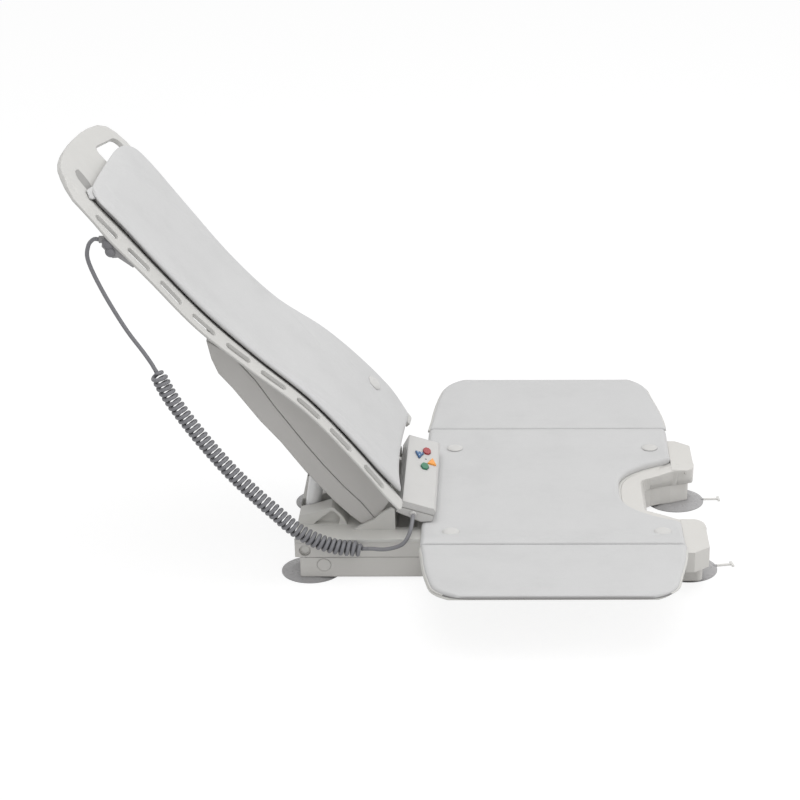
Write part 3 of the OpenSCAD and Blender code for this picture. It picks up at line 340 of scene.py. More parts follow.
# The first pattern that a node's name fits gives its finish; the rest are white.
FINISHES = [
    (n, plastic(n, c, rough=0.3, round_mm=0.8, grain=0.03, corner_shade=1.0, spec=0.5))
    for n, c in KEY_COLOURS.items()
] + [
    ("cup_*", CUP), ("cord_plug", WEDGE), ("strut_tube*", TUBE), ("cord_*", CORD),
    ("*snap*", BUTTON), ("*_pad", COVER), ("*_pad_*", COVER),
    ("*_arm_*", ARM), ("*_tie", ARM), ("drive_motor", ARM),
    ("cross_pivot_pins", PIN), ("strut_pin", PIN), ("back_hinge_pin", PIN), ("drive_yoke", PIN),
    ("strut_rod*", PIN),
    ("*glides*", DARK), ("drive_gearbox", DARK), ("handset_battery", DARK), ("*_board", BOARD),
    ("handset_lamp", LAMP), ("handset*", HAND), ("back_shell", SHELL), ("housing*", HOUSE),
    ("seat_apron", MOULD), ("seat_rail*", LUG), ("base_*", WHITE_SIDE),
]


def finish_of(name):
    return next((m for pattern, m in FINISHES if fnmatchcase(name, pattern)), WHITE)


for n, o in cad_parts.items():
    m = finish_of(n)
    if len(o.material_slots):
        for s in o.material_slots:
            s.material = m
    else:
        o.data.materials.append(m)


# ---------------------------------------------------------------- mesh helpers
def add_mesh(name, verts, faces, mat, smooth=True):
    me = bpy.data.meshes.new(name)
    me.from_pydata([tuple(v) for v in verts], [], [tuple(f) for f in faces])
    me.update()
    if smooth:
        me.polygons.foreach_set("use_smooth", [True] * len(me.polygons))
    o = bpy.data.objects.new(name, me)
    scene.collection.objects.link(o)
    me.materials.append(mat)
    return o


def face_out(o):
    """Turn every face of a closed mesh outward."""
    bm = bmesh.new()
    bm.from_mesh(o.data)
    bmesh.ops.recalc_face_normals(bm, faces=bm.faces)
    bm.to_mesh(o.data)
    bm.free()


def ring_faces(rings, sides, start=0):
    """Faces of a tube of closed rings of points, with both ends capped."""
    faces = []
    for i in range(rings - 1):
        for k in range(sides):
            q, r = start + i * sides + k, start + i * sides + (k + 1) % sides
            faces.append((q, r, r + sides, q + sides))
    faces.append(tuple(start + k for k in range(sides - 1, -1, -1)))
    faces.append(tuple(start + (rings - 1) * sides + k for k in range(sides)))
    return faces


def bar_faces(rows, n):
    """Faces of a bar of n points' length whose section goes round the rows, ends capped."""
    faces = []
    for r in range(rows):
        for c in range(n - 1):
            a, b = r * n + c, ((r + 1) % rows) * n + c
            faces.append((a, a + 1, b + 1, b))
    faces.append(tuple(r * n for r in range(rows)))
    faces.append(tuple(r * n + n - 1 for r in range(rows - 1, -1, -1)))
    return faces


def catmull(p, t):
    """Points along a list of points, as in the part's source."""
    p = np.asarray(p, float)
    t = np.atleast_1d(np.asarray(t, float))
    n = len(p) - 1
    k = np.clip(np.floor(t).astype(int), 0, n - 1)
    f = (t - k)[:, None]
    a, b = p[np.maximum(k - 1, 0)], p[k]
    c, d = p[np.minimum(k + 1, n)], p[np.minimum(k + 2, n)]
    square, cube = 2 * a - 5 * b + 4 * c - d, 3 * b - a - 3 * c + d
    return 0.5 * (2 * b + (c - a) * f + square * f**2 + cube * f**3)


def smooth(a, b, x):
    """0 up to a, 1 from b on, and an S between them."""
    t = np.clip((np.asarray(x, float) - a) / (b - a), 0, 1)
    return t * t * (3 - 2 * t)


def roll(d, w):
    """Height of a rounded rim of width w at the distance d from its edge."""
    k = np.clip(np.asarray(d, float) / w, 0, 1)
    return np.sqrt(np.maximum(1 - (1 - k) ** 2, 0))


def tube_mesh(name, path, d, sides, mat):
    """A closed tube of one diameter along points in metres."""
    p = np.asarray(path, float)
    n = len(p)
    tan = np.empty_like(p)
    tan[1:-1] = p[2:] - p[:-2]
    tan[0], tan[-1] = p[1] - p[0], p[-1] - p[-2]
    tan /= np.linalg.norm(tan, axis=1)[:, None]
    v = np.array([0.0, 0, 1]) if abs(tan[0][2]) < 0.9 else np.array([0.0, 1, 0])
    verts = []
    ang = 2 * np.pi * np.arange(sides) / sides
    for i in range(n):
        v = v - tan[i] * (v @ tan[i])
        v /= np.linalg.norm(v)
        w = np.cross(tan[i], v)
        verts.extend(p[i] + d / 2 * (np.cos(a) * v + np.sin(a) * w) for a in ang)
    return add_mesh(name, verts, ring_faces(n, sides), mat)


# ---------------------------------------------------------------- cord
CORD_D = 5.2
CURL_D = 21.0
CURL_N = 52
TURN_STEPS, END_STEPS = 8, 7
CORD_Y = -147.0
LEAD = [[-15, -116.3, 81], [-15, -122, 81], [-16, -132, 77], [-19, -141, 67], [-27, CORD_Y, 56],
        [-40, CORD_Y, 50], [-54, CORD_Y, 48], [-66, CORD_Y, 49], [-72, CORD_Y, 49]]
CURLS = [[-72, 49], [-78, 49], [-107, 51], [-136, 60], [-164, 77], [-190, 102], [-210, 122],
         [-242, 157], [-280, 207], [-312, 257], [-328, 292], [-331, 298]]
TAIL = [[x, CORD_Y, z] for x, z in (
    (-331.2, 298.4), (-334, 304), (-343, 319), (-363, 350), (-387, 397),
    (-402, 436), (-401, 455), (-394, 464), (-387, 464))]


def curl_route(per_turn):
    """The curls' centre line in millimetres; the turns grow and shrink at the ends."""
    fine = catmull(CURLS, np.linspace(0, len(CURLS) - 1, 1201))
    run = np.concatenate([[0], np.cumsum(np.linalg.norm(np.diff(fine, axis=0), axis=1))])
    total = run[-1]
    n = CURL_N * TURN_STEPS
    i = np.linspace(0, n, CURL_N * per_turn + 1)
    gap = CORD_D * 1.2
    s = gap + (total - 2 * gap) * i / n

    def at(q):
        q = np.clip(q, 0, total)
        return np.stack([np.interp(q, run, fine[:, 0]), np.interp(q, run, fine[:, 1])], 1)

    p, t = at(s), at(s + 2) - at(s - 2)
    t /= np.linalg.norm(t, axis=1)[:, None]
    r = (CURL_D - CORD_D) / 2 * smooth(0, END_STEPS, i) * smooth(0, END_STEPS, n - i)
    a = 2 * np.pi * i / TURN_STEPS
    out = r * np.cos(a)
    w = np.stack([p[:, 0] - out * t[:, 1], CORD_Y + r * np.sin(a), p[:, 1] + out * t[:, 0]], 1)
    ends = [np.array([[CURLS[k][0], CORD_Y, CURLS[k][1]]], float) for k in (0, -1)]
    return np.concatenate([ends[0], w, ends[1]])


lead_path = met(catmull(LEAD, np.linspace(0, len(LEAD) - 1, 36)))
tail_path = catmull(TAIL, np.linspace(0, len(TAIL) - 1, 40))
curl_path = met(np.concatenate([curl_route(20), tail_path[1:]]))

lead = tube_mesh("handset_lead", lead_path, CORD_D / 1000, 14, CORD)
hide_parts("cord_lead")
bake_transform(lead)

curls = tube_mesh("curly_cord", curl_path, CORD_D / 1000, 10, CORD)
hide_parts("cord_curls", "cord_tail")
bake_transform(curls)


# ---------------------------------------------------------------- covers
SEAT_REAR, SEAT_FRONT = -5.0, 333.0
CUT_DEPTH, CUT_MOUTH = 76.0, 104.0
PAD_Z, PAD_T, PAD_RISE, PAD_SIDE, PAD_ROLL, PAD_UNDER = 57.5, 11.0, 8.0, 3.0, 7.0, 1.6
FOLD_Y, FOLD_Z, FOLD_GAP, FOLD_ROLL = 189.5, 76.5, 0.4, 2.4
FLAP_REACH, FLAP_TILT, FLAP_R, FORE_R = 167.0, 4.0, 38.0, 42.0
FLAP_PAD_T, FLAP_SIDE, FLAP_ROLL = 6.0, 2.0, 6.0
SNAP_D, SNAP_X, SNAP_Y, SNAP_SINK, SNAP_RUN = 22.0, (34.0, 306.0), 137.0, 1.3, 15.0
BACK_SNAP, BACK_SNAP_SINK = (0.9, 106.0), 1.0
SKIN = 0.05


def ripple(x, y, scale, height, seed):
    """Slow unevenness of a soft sheet."""
    out = np.empty(x.shape)
    for i in np.ndindex(x.shape):
        out[i] = noise.noise(Vector((x[i] / scale + seed, y[i] / scale, seed * 1.7)))
    return out * height


def front_at(y):
    """Front edge of the seat cover, with its cut-out."""
    a = np.abs(y) / CUT_MOUTH
    return SEAT_FRONT - np.where(a < 1, CUT_DEPTH * (1 - a**3), 0)


def ease(t):
    """0..1 to 0..1, denser at both ends."""
    return 0.5 - 0.5 * np.cos(np.pi * t)


def closed_pad(name, top, low, mat):
    """A closed mesh from an upper and a lower grid in millimetres, joined round the rim."""
    nu, nv = top.shape[:2]
    verts = met(np.concatenate([top.reshape(-1, 3), low.reshape(-1, 3)]))
    c = nu * nv
    idx = np.arange(c).reshape(nu, nv)
    a, b, d, e = idx[:-1, :-1], idx[1:, :-1], idx[1:, 1:], idx[:-1, 1:]
    up = np.stack([a, b, d, e], -1).reshape(-1, 4)
    dn = up[:, ::-1] + c
    rim = np.concatenate([idx[0, :-1], idx[:-1, -1], idx[-1, :0:-1], idx[:0:-1, 0]])
    nx = np.roll(rim, -1)
    side = np.stack([rim, nx, nx + c, rim + c], -1)
    o = add_mesh(name, verts, np.concatenate([up, dn, side]), mat)
    face_out(o)
    return o


def seat_grid(nu, nv):
    """Upper and lower points of the seat's pad: raised along the folds, sunk at the snaps."""
    v = np.linspace(-1, 1, nv)
    h = FOLD_Y - FOLD_GAP
    y = h * np.sign(v) * (0.88 * np.abs(v) + 0.12 * np.sin(np.abs(v) * np.pi / 2))
    u = np.linspace(0, 1, nu)
    u = 0.35 * u + 0.65 * ease(u)
    x1 = front_at(y)
    x = SEAT_REAR + (x1 - SEAT_REAR)[None, :] * u[:, None]
    yy = np.broadcast_to(y, x.shape)
    slope = np.gradient(x1, y)[None, :]
    d = np.minimum(x - SEAT_REAR, (x1[None, :] - x) / np.sqrt(1 + slope**2))
    e = h - np.abs(yy)
    crown = PAD_RISE * (1 - smooth(4, 60, e))
    well = np.zeros(x.shape)
    for sx in SNAP_X:
        r = np.hypot(x - sx, np.abs(yy) - SNAP_Y)
        well = np.maximum(well, 1 - smooth(SNAP_D / 2 + 1, SNAP_D / 2 + SNAP_RUN, r))
    lift = PAD_T - PAD_SIDE + crown - SNAP_SINK * well
    lift = lift * roll(d + 0.5, PAD_ROLL) * roll(e + 1.6, FOLD_ROLL)
    uneven = ripple(x, yy, 46, 0.35, 3.1) * smooth(0, 20, d) * smooth(0, 14, e) * (1 - well)
    top = np.stack([x, yy, PAD_Z + PAD_SIDE + lift + uneven], -1)
    xl = SEAT_REAR + PAD_UNDER + (x1 - SEAT_REAR - 2 * PAD_UNDER)[None, :] * u[:, None]
    low = np.stack([xl, yy * (1 - PAD_UNDER / FOLD_Y), np.full(x.shape, PAD_Z + SKIN)], -1)
    return top, low


def flap_edge(d):
    """Rear and front edge of a flap at the distance d from its fold line."""
    k = d / FLAP_REACH

    def corner(r):
        c = np.maximum(d - (FLAP_REACH - r), 0)
        return r - np.sqrt(np.maximum(r * r - c * c, 0))

    rear = SEAT_REAR + 2.5 * smooth(0, 0.2, k) + 23 * k * k + corner(FLAP_R)
    return rear, SEAT_FRONT - 20.5 * smooth(0.05, 1, k) - corner(FORE_R)


LIP = 2.4


def flap_grid(nu, nv, side):
    """A flap's pad lying flat beside its fold line, then tipped up; it stops short of its edge for
    a thin welded lip.
    """
    v = np.linspace(0, 1, nv)
    d = FOLD_GAP + (FLAP_REACH - LIP - FOLD_GAP) * (1 - (1 - v) ** 2)
    x0, x1 = flap_edge(d)
    x0, x1 = x0 + LIP, x1 - LIP * smooth(0, 20, d)
    u = np.linspace(0, 1, nu)
    u = 0.3 * u + 0.7 * ease(u)
    x = x0[None, :] + (x1 - x0)[None, :] * u[:, None]
    dd = np.broadcast_to(d, x.shape)
    g = np.minimum(np.minimum(x - x0[None, :], x1[None, :] - x), FLAP_REACH - LIP - dd)
    b = dd - FOLD_GAP
    rounding = roll(g + 0.3, FLAP_ROLL) * roll(b + 1.4, FOLD_ROLL)
    z = -FLAP_PAD_T + FLAP_SIDE + (FLAP_PAD_T - FLAP_SIDE) * rounding
    z = z + ripple(x, dd, 52, 0.35, 7.7 + side) * smooth(0, 22, g) * smooth(0, 12, b)
    top = np.stack([x, dd, z], -1)
    low = np.stack([x, dd, np.full(x.shape, -FLAP_PAD_T + SKIN)], -1)
    return tip(top, side), tip(low, side)


def tip(p, side):
    """From the flat flap (along, out, up) to the seat's axes, tipped up round the fold line."""
    a = math.radians(FLAP_TILT)
    y = FOLD_Y + p[..., 1] * math.cos(a) - p[..., 2] * math.sin(a)
    z = FOLD_Z + p[..., 1] * math.sin(a) + p[..., 2] * math.cos(a)
    return np.stack([p[..., 0], side * y, z], -1)


# The back's side line (x, z); a station is a place in this list.
BACK = np.array([[-30, 107], [-88, 178.5], [-147, 239], [-213.5, 290], [-275, 348.5],
                 [-330.5, 415.5], [-384.5, 480], [-445, 541.5]])
BACK_N = len(BACK) - 1
STATION = 90.0
BACK_HALF, WAIST, DISH, DROOP = 160.0, 27.0, 12.0, 0.31
RIM_LEAST, RIM_MORE = 16.5, 12.0
WAIST_SHARE = np.array([[0], [0.26], [0.65], [1], [0.65], [0.4], [0.05], [0.05]])
RIM_SHARE = np.array([[0], [0], [0.1], [0.4], [0.8], [0.7], [1], [1]])
PAD0, PAD1, BACK_PAD_T, PAD_SEAT, BACK_SIDE = 0.16, 6.37, 10.0, 0.6, 4.4
END_RUN, END_NARROW, END_POWER = 34.0, 62.0, 2.6
FOOT_NARROW, LEAST_HALF = 16.0, 30.0


def back_nor(t):
    """Forward normals (x, z) of the side line."""
    d = catmull(BACK, np.minimum(t + 0.02, BACK_N)) - catmull(BACK, np.maximum(t - 0.02, 0))
    d /= np.linalg.norm(d, axis=1)[:, None]
    return np.stack([d[:, 1], -d[:, 0]], 1)


def half_at(t):
    """Half width of the shell."""
    return BACK_HALF - WAIST * catmull(WAIST_SHARE, t)[:, 0]


def rim_at(t):
    """Width of the flange."""
    return RIM_LEAST + RIM_MORE * catmull(RIM_SHARE, t)[:, 0]


def section(t, y):
    """Forward offset of the shell: dished in the middle, flanges falling back at the sides."""
    r = rim_at(t)
    c = half_at(t) - r
    k = np.abs(y) / c
    fall = 1 - 0.6 * smooth(5.7, 6.4, t) - 0.4 * (1 - smooth(0.05, 0.4, t))
    flange = DROOP * r * (1 - fall * (np.abs(y) - c) / r)
    return np.where(k > 1, flange, DROOP * r - DISH * (1 - k * k))


def back_at(t, y, off):
    """Points of the back: station, sideways, forward offset (arrays of one shape)."""
    t, y, off = np.broadcast_arrays(*(np.asarray(q, float) for q in (t, y, off)))
    tf, yf = t.ravel(), y.ravel()
    p = catmull(BACK, tf) + back_nor(tf) * (off.ravel() + section(tf, yf))[:, None]
    return np.stack([p[:, 0], yf, p[:, 1]], 1).reshape(t.shape + (3,))


def back_axes(t, y):
    """A point of the shell, and the axes down the back, sideways and forward there."""
    n = back_nor(np.array([t]))[0]
    down, forward = np.array([n[1], 0, -n[0]]), np.array([n[0], 0, n[1]])
    return back_at([t], [y], [0.0])[0], down, np.array([0, 1.0, 0]), forward


def reach(t, to):
    return np.linalg.norm(catmull(BACK, t) - catmull(BACK, [to]), axis=1)


def back_half(t):
    """Half width of the back's pad: narrower at the foot, round at the grip end."""
    d = np.minimum(reach(t, PAD1), END_RUN)
    arc = np.maximum(1 - (1 - d / END_RUN) ** END_POWER, 0) ** (1 / END_POWER)
    foot = FOOT_NARROW * (1 - smooth(0.1, 0.7, t))
    return np.maximum(half_at(t) - rim_at(t) - foot - END_NARROW * (1 - arc), LEAST_HALF)


def back_grid(nu, nv):
    """Upper and lower points of the back's pad; stations are denser at the grip end."""
    u = np.linspace(0, 1, nu)
    share = np.where(u < 0.85, u / 0.85 * 0.94, 1 - 0.06 * ((1 - u) / 0.15) ** 2)
    t = PAD0 + (PAD1 - PAD0) * share
    h = back_half(t)
    v = np.linspace(-1, 1, nv)
    v = np.sign(v) * (0.7 * np.abs(v) + 0.3 * np.sin(np.abs(v) * np.pi / 2))
    y = h[:, None] * v[None, :]
    tt = np.broadcast_to(t[:, None], y.shape)
    ends = np.minimum(reach(t, PAD0), reach(t, PAD1))
    d = np.minimum(h[:, None] - np.abs(y), ends[:, None])
    off = PAD_SEAT + BACK_SIDE + (BACK_PAD_T - BACK_SIDE) * roll(d + 0.3, PAD_ROLL)
    snap = np.hypot((tt - BACK_SNAP[0]) * STATION, y - BACK_SNAP[1])
    well = 1 - smooth(SNAP_D / 2, SNAP_D / 2 + SNAP_RUN, snap)
    uneven = ripple(tt * STATION, y, 50, 0.4, 12.3) * smooth(2, 24, d) * (1 - well)
    top = back_at(tt, y, off - BACK_SNAP_SINK * well + uneven)
    tl = np.clip(tt, PAD0 + 0.012, PAD1 - 0.012)
    clear = (3.2 + 2.4 * smooth(4.4, 6.0, tt)) * (1 - smooth(0, 14, d))
    low = back_at(tl, y * (1 - 1.2 / np.maximum(h[:, None], LEAST_HALF)), PAD_SEAT + clear)
    return top, low


def puff(items, pressure, frames=20):
    """Blow the upper skins up a little with cloth pressure; no point moves past its cap."""
    sims = []
    for o, cap, hold in items:
        n = len(o.data.vertices)
        rest = np.empty(n * 3)
        o.data.vertices.foreach_get("co", rest)
        g = o.vertex_groups.new(name="held")
        g.add([int(k) for k in np.nonzero(hold)[0]], 1.0, "REPLACE")
        m = o.modifiers.new("cloth", "CLOTH")
        m.settings.quality = 4
        m.settings.mass = 0.2
        m.settings.tension_stiffness = 30
        m.settings.compression_stiffness = 30
        m.settings.bending_stiffness = 2
        m.settings.use_pressure = True
        m.settings.uniform_pressure_force = pressure
        m.settings.vertex_group_mass = "held"
        m.settings.effector_weights.gravity = 0
        m.collision_settings.use_collision = False
        m.collision_settings.use_self_collision = False
        m.point_cache.frame_start, m.point_cache.frame_end = 1, frames
        sims.append((o, m, rest.reshape(-1, 3), cap, g))
    for f in range(1, frames + 1):
        scene.frame_set(f)
    dg = bpy.context.evaluated_depsgraph_get()
    done = []
    for o, _, rest, _, _ in sims:
        now = np.empty(len(rest) * 3)
        o.evaluated_get(dg).data.vertices.foreach_get("co", now)
        done.append(now.reshape(-1, 3) - rest)
    for (o, m, rest, cap, g), move in zip(sims, done):
        far = np.linalg.norm(move, axis=1)
        k = np.where(far > 1e-12, np.minimum(far, cap) / np.maximum(far, 1e-12), 0)
        o.modifiers.remove(m)
        o.vertex_groups.remove(g)
        o.data.vertices.foreach_set("co", (rest + move * k[:, None]).ravel())
        o.data.update()
    scene.frame_set(1)


def cover_piece(name, grids, body, node, cap, keep, snaps):
    """A padded cover; its rim (keep rows), its underside and its snaps are held still."""
    top, low = grids
    shape = top.shape[:2]
    o = closed_pad(name, top, low, COVER)
    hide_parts(node)
    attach(o, body)
    n = shape[0] * shape[1]
    hold = np.ones(2 * n, bool)
    inner = np.zeros(shape, bool)
    inner[keep:-keep, keep:-keep] = True
    hold[:n] = ~inner.ravel()
    for c in snaps:
        hold[:n] |= np.linalg.norm(top.reshape(-1, 3) - np.asarray(c), axis=1) < SNAP_D
    return o, cap, hold


seat_snaps = [(x, y, PAD_Z + PAD_T) for x in SNAP_X for y in (-SNAP_Y, SNAP_Y)]
back_snap = back_at([BACK_SNAP[0]], [BACK_SNAP[1]], [BACK_PAD_T])
SEAT_CAP, SOFT_CAP = 0.0012, 0.0014
covers = [
    cover_piece("seat_cover", seat_grid(64, 90), "seat", "seat_pad", SEAT_CAP, 5, seat_snaps),
    cover_piece("flap_cover_left", flap_grid(60, 40, 1), "flap_left", "flap_pad_left",
                SOFT_CAP, 4, ()),
    cover_piece("flap_cover_right", flap_grid(60, 40, -1), "flap_right", "flap_pad_right",
                SOFT_CAP, 4, ()),
    cover_piece("back_cover", back_grid(110, 60), "backrest", "back_pad", SOFT_CAP, 5, back_snap),
]
puff(covers, 4.0)
for o, _, _ in covers:
    s = o.modifiers.new("soft", "SUBSURF")
    s.levels = s.render_levels = 1


# Welded lips round the flap covers: section as (inset, height over the flap's plate)
LIP_ROWS = ((7.0, 0.1), (0.6, 0.1), (0.0, 0.6), (0.3, 1.3), (3.0, 1.6), (7.0, 1.6))
LIP_STEPS, LIP_SHADE_STEPS = 60, 16


def flap_lip(name, side, body):
    """The lip; a run of steps on both sides of its outer middle takes a dark grey: painted shade of
    the plate's edge.
    """
    run = np.sin(np.linspace(0, np.pi / 2, LIP_STEPS))
    d = FOLD_GAP + 1 + (FLAP_REACH - FOLD_GAP - 1) * run
    x0, x1 = flap_edge(d)
    line = np.concatenate([np.stack([x0, d], 1), np.stack([x1, d], 1)[::-1]])
    t = np.gradient(line, axis=0)
    t /= np.linalg.norm(t, axis=1)[:, None]
    inward = np.stack([t[:, 1], -t[:, 0]], 1)
    rows = []
    for inset, rise in LIP_ROWS:
        z = np.full((len(line), 1), -FLAP_PAD_T + rise)
        rows.append(np.concatenate([line + inward * inset, z], 1))
    pts = tip(np.stack(rows), side)
    m, k = len(rows), len(line)
    o = add_mesh(name, met(pts.reshape(-1, 3)), bar_faces(m, k), WHITE)
    o.data.materials.append(EDGE)
    for f in o.data.polygons[:m * (k - 1)]:
        f.material_index = int(abs(f.index % (k - 1) - LIP_STEPS) < LIP_SHADE_STEPS)
    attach(o, body)


flap_lip("flap_lip_left", 1, "flap_left")
flap_lip("flap_lip_right", -1, "flap_right")


# Moulded skin that carries the apron's slope and wall on into a lug
LUG_FOOT_Z, LUG_ROUND = 32.2, 4.0
LUG_EDGE = [[301, 55.4, 57.3], [316, 65.0, 57.6], [333, 77.3, 58.5], [344, 78.4, 59.4],
            [354, 79.2, 59.4], [363, 88.3, 59.4], [365.4, 103, 59.4]]
LUG_FOOT = [[x, y, LUG_FOOT_Z] for x, y in (
    (304, 76.4), (317, 83.4), (333, 89.8), (345, 91.6), (354.5, 94.5), (362.4, 97.5), (365.2, 108))]
LUG_BACK = [[290, 58, 56.7], [301, 74, 56.7], [315, 97, 56.9], [336, 106, 58.7], [345, 108, 58.7],
            [350, 112, 58.7], [354, 116, 58.7]]


def lug_skin(name, side):
    q = np.linspace(0, len(LUG_EDGE) - 1, 43)
    e, f, a = catmull(LUG_EDGE, q), catmull(LUG_FOOT, q), catmull(LUG_BACK, q)

    def to(p, g, d):
        v = g - p
        return p + v * (d / np.linalg.norm(v, axis=1))[:, None]

    t0, w0 = to(e, a, LUG_ROUND), to(e, f, LUG_ROUND)
    rows = [a, 0.5 * (a + t0)]
    rows += [(1 - k) ** 2 * t0 + 2 * k * (1 - k) * e + k * k * w0 for k in np.linspace(0, 1, 8)]
    rows += [0.5 * (w0 + f), f]
    rows += [f + np.array([-1.5, 2.5, 0.0]), 0.5 * (a + f) + np.array([-2.0, 4.0, 0.0])]
    pts = np.stack(rows) * np.array([1, side, 1])
    o = add_mesh(name, met(pts.reshape(-1, 3)), bar_faces(*pts.shape[:2]), MOULD)
    face_out(o)
    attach(o, "seat")


lug_skin("lug_skin_left", 1)
lug_skin("lug_skin_right", -1)


# Hook of the back cover over the shell's near corner: (station, y) of its two sides at the
# root, and how far each side runs
HOOK_ROOT = ((6.36, -80.0), (6.22, -104.0))
HOOK_RUN = ((0.05, -18.0), (0.095, -24.0))
HOOK_T = 1.8


def cover_hook():
    u = np.linspace(0, 1, 16)[:, None]
    w = np.linspace(-1, 1, 13)[None, :]
    k = 0.5 + 0.5 * w * (1 - 0.3 * u**5)
    t, y = ((HOOK_ROOT[0][i] + HOOK_RUN[0][i] * u) * (1 - k)
            + (HOOK_ROOT[1][i] + HOOK_RUN[1][i] * u) * k for i in (0, 1))
    off = 8.6 - 5.4 * smooth(0, 1, u) - 0.8 * np.abs(w) ** 4
    o = closed_pad("cover_hook", back_at(t, y, off), back_at(t, y, off - HOOK_T), COVER)
    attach(o, "backrest")


cover_hook()


# Grey plate at the bottom of the leaf-shaped recess in the grip end, painted shade that darkens the
# recess: two arcs that meet in points
LEAF_AT, LEAF_TURN = (6.46, -64.0), math.radians(-58)
LEAF_R, LEAF_OFF, LEAF_FIT = 36.0, 23.0, 0.985
LEAF_LOW, LEAF_HIGH = -3.9, -1.2


def leaf():
    o, ex, ey, ez = back_axes(*LEAF_AT)
    h = math.acos(LEAF_OFF / LEAF_R)
    a = np.linspace(-h, h, 21)
    side = np.stack([LEAF_R * np.sin(a), LEAF_R * np.cos(a) - LEAF_OFF], 1) * LEAF_FIT
    rim = np.concatenate([side, -side[1:-1]])
    x = rim[:, 0] * math.cos(LEAF_TURN) - rim[:, 1] * math.sin(LEAF_TURN)
    y = rim[:, 0] * math.sin(LEAF_TURN) + rim[:, 1] * math.cos(LEAF_TURN)
    c = len(rim)
    pts = [o + x[k] * ex + y[k] * ey + z * ez for z in (LEAF_LOW, LEAF_HIGH) for k in range(c)]
    m = add_mesh("grip_leaf", met(pts), ring_faces(2, c), LEAF_SHADE, smooth=False)
    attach(m, "backrest")


leaf()


# Raised dots of the blue key, on the handset's sloping face
FACE_X, FACE_Z, FACE_SLOPE = -12.0, 94.9, math.radians(16.7)
DOTS = ((-3.0, 54.5), (2.0, 54.5), (-0.5, 47.5))
DOT_RINGS = ((0.95, 1.95), (0.95, 2.1), (0.55, 2.3))
DOT_SIDES, DOT_STRETCH = 16, 1.9


def key_dots():
    s, c = math.sin(FACE_SLOPE), math.cos(FACE_SLOPE)
    verts, faces = [], []
    for x, y in DOTS:
        faces += ring_faces(len(DOT_RINGS), DOT_SIDES, len(verts))
        for r, z in DOT_RINGS:
            for i in range(DOT_SIDES):
                a = 2 * math.pi * i / DOT_SIDES
                u, v = x + r * math.cos(a), y + DOT_STRETCH * r * math.sin(a)
                verts.append((FACE_X + u * c + z * s, v, FACE_Z - u * s + z * c))
    m = add_mesh("key_blue_dots", met(verts), faces, DOT)
    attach(m, "key_blue")


key_dots()


# Soft lobes of the cord's clip, under the flange
CLIP_AT = (5.65, CORD_Y)


def lobe(name, x, z, rx, ry, rz):
    """A rounded barrel across the flange, its middle x down the back and z forward of it."""
    o, ex, ey, ez = back_axes(*CLIP_AT)
    a = np.linspace(0, 2 * np.pi, 28, endpoint=False)
    b = np.linspace(0.06, np.pi - 0.06, 15)
    ca, sb = np.cos(a)[None, :], np.sin(b)[:, None]
    px = x + rx * sb * ca
    pz = z + rz * sb * np.sin(a)[None, :]
    py = ry * np.sign(np.cos(b))[:, None] * np.abs(np.cos(b))[:, None] ** 0.6 + 0 * ca
    pts = o + px[..., None] * ex + pz[..., None] * ez + py[..., None] * ey
    m = add_mesh(name, met(pts.reshape(-1, 3)), ring_faces(len(b), len(a)), PLUG)
    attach(m, "backrest")


lobe("clip_lobe_upper", -8.0, -9.5, 8.6, 9.5, 7.0)
lobe("clip_lobe_lower", 1.0, -14.5, 7.4, 9.5, 7.0)


# ---------------------------------------------------------------- floor, light
FLOOR_HALF, FLOOR_Z = 30.0, -0.0003
FLOOR_GLOW, FLOOR_SHADOW, FLOOR_BOUNCE = 0.86, 0.2, 0.78
WORLD_LIGHT, WORLD_SEEN = 0.50, 1.0
SEEN_RAYS = ("Is Camera Ray", "Is Glossy Ray", "Is Transmission Ray")


def grey(v):
    return (v, v, v, 1)


def node(tree, kind, *values):
    """A shader node with its first inputs set."""
    n = tree.nodes.new("ShaderNode" + kind)
    for k, v in enumerate(values):
        n.inputs[k].default_value = v
    return n


def empty_tree(owner):
    owner.use_nodes = True
    owner.node_tree.nodes.clear()
    return owner.node_tree


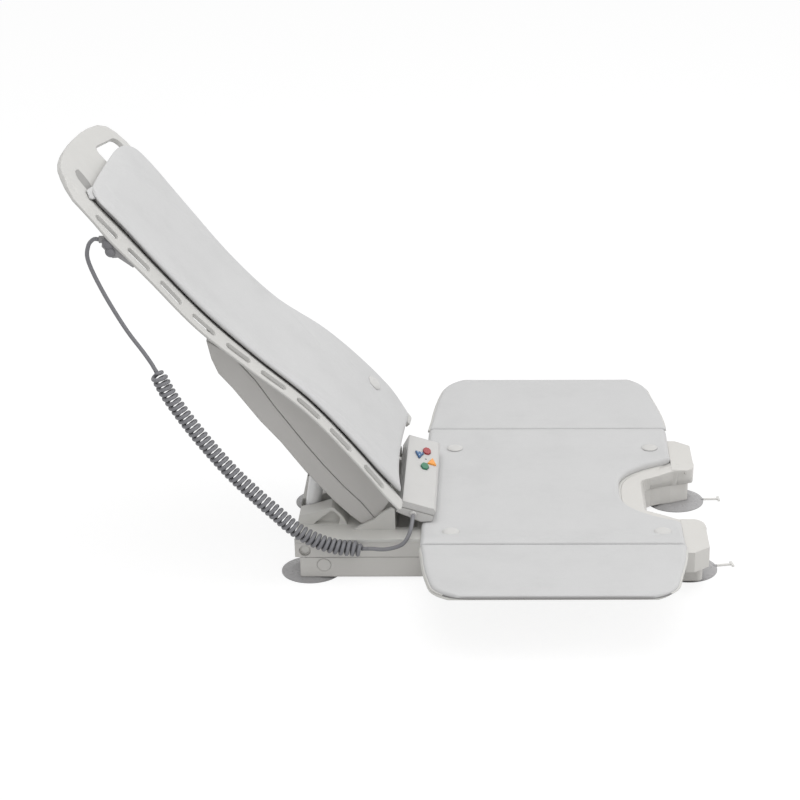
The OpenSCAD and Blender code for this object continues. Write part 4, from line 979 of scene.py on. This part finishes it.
def split_rays(tree, output, lit, seen):
    """One shader for light that bounces, another for what the camera sees."""
    path = node(tree, "LightPath")
    fac = path.outputs[SEEN_RAYS[0]]
    for kind in SEEN_RAYS[1:]:
        either = node(tree, "Math")
        either.operation = "MAXIMUM"
        tree.links.new(fac, either.inputs[0])
        tree.links.new(path.outputs[kind], either.inputs[1])
        fac = either.outputs[0]
    mix = node(tree, "MixShader")
    for k, s in enumerate((fac, lit.outputs[0], seen.outputs[0])):
        tree.links.new(s, mix.inputs[k])
    tree.links.new(mix.outputs[0], node(tree, output).inputs[0])


floor_mat = bpy.data.materials.new("floor")
tree = empty_tree(floor_mat)
seen = node(tree, "AddShader")
tree.links.new(node(tree, "Emission", grey(1), FLOOR_GLOW).outputs[0], seen.inputs[0])
tree.links.new(node(tree, "BsdfDiffuse", grey(FLOOR_SHADOW)).outputs[0], seen.inputs[1])
split_rays(tree, "OutputMaterial", node(tree, "BsdfDiffuse", grey(FLOOR_BOUNCE)), seen)
corners = [(sx * FLOOR_HALF, sy * FLOOR_HALF, FLOOR_Z)
           for sx, sy in ((-1, -1), (1, -1), (1, 1), (-1, 1))]
floor = add_mesh("floor", corners, [(0, 1, 2, 3)], floor_mat, smooth=False)

world = bpy.data.worlds.new("studio")
scene.world = world
tree = empty_tree(world)
split_rays(tree, "OutputWorld", node(tree, "Background", grey(1), WORLD_LIGHT),
           node(tree, "Background", grey(1), WORLD_SEEN))


def area(name, at, to, size, watts):
    light = bpy.data.lights.new(name, "AREA")
    light.shape = "RECTANGLE"
    light.size, light.size_y = size
    light.energy = watts
    o = bpy.data.objects.new(name, light)
    scene.collection.objects.link(o)
    o.location = at
    o.rotation_euler = (Vector(to) - Vector(at)).to_track_quat("-Z", "Y").to_euler()


area("light_top", (0.3, -0.4, 3.0), (0, 0, 0.1), (3.2, 3.2), 54)
area("light_front", (1.0, -2.6, 1.6), (0, 0, 0.15), (1.8, 1.8), 4)
area("light_right", (3.0, -0.3, 1.2), (0.2, 0.05, 0.1), (1.4, 1.4), 12)
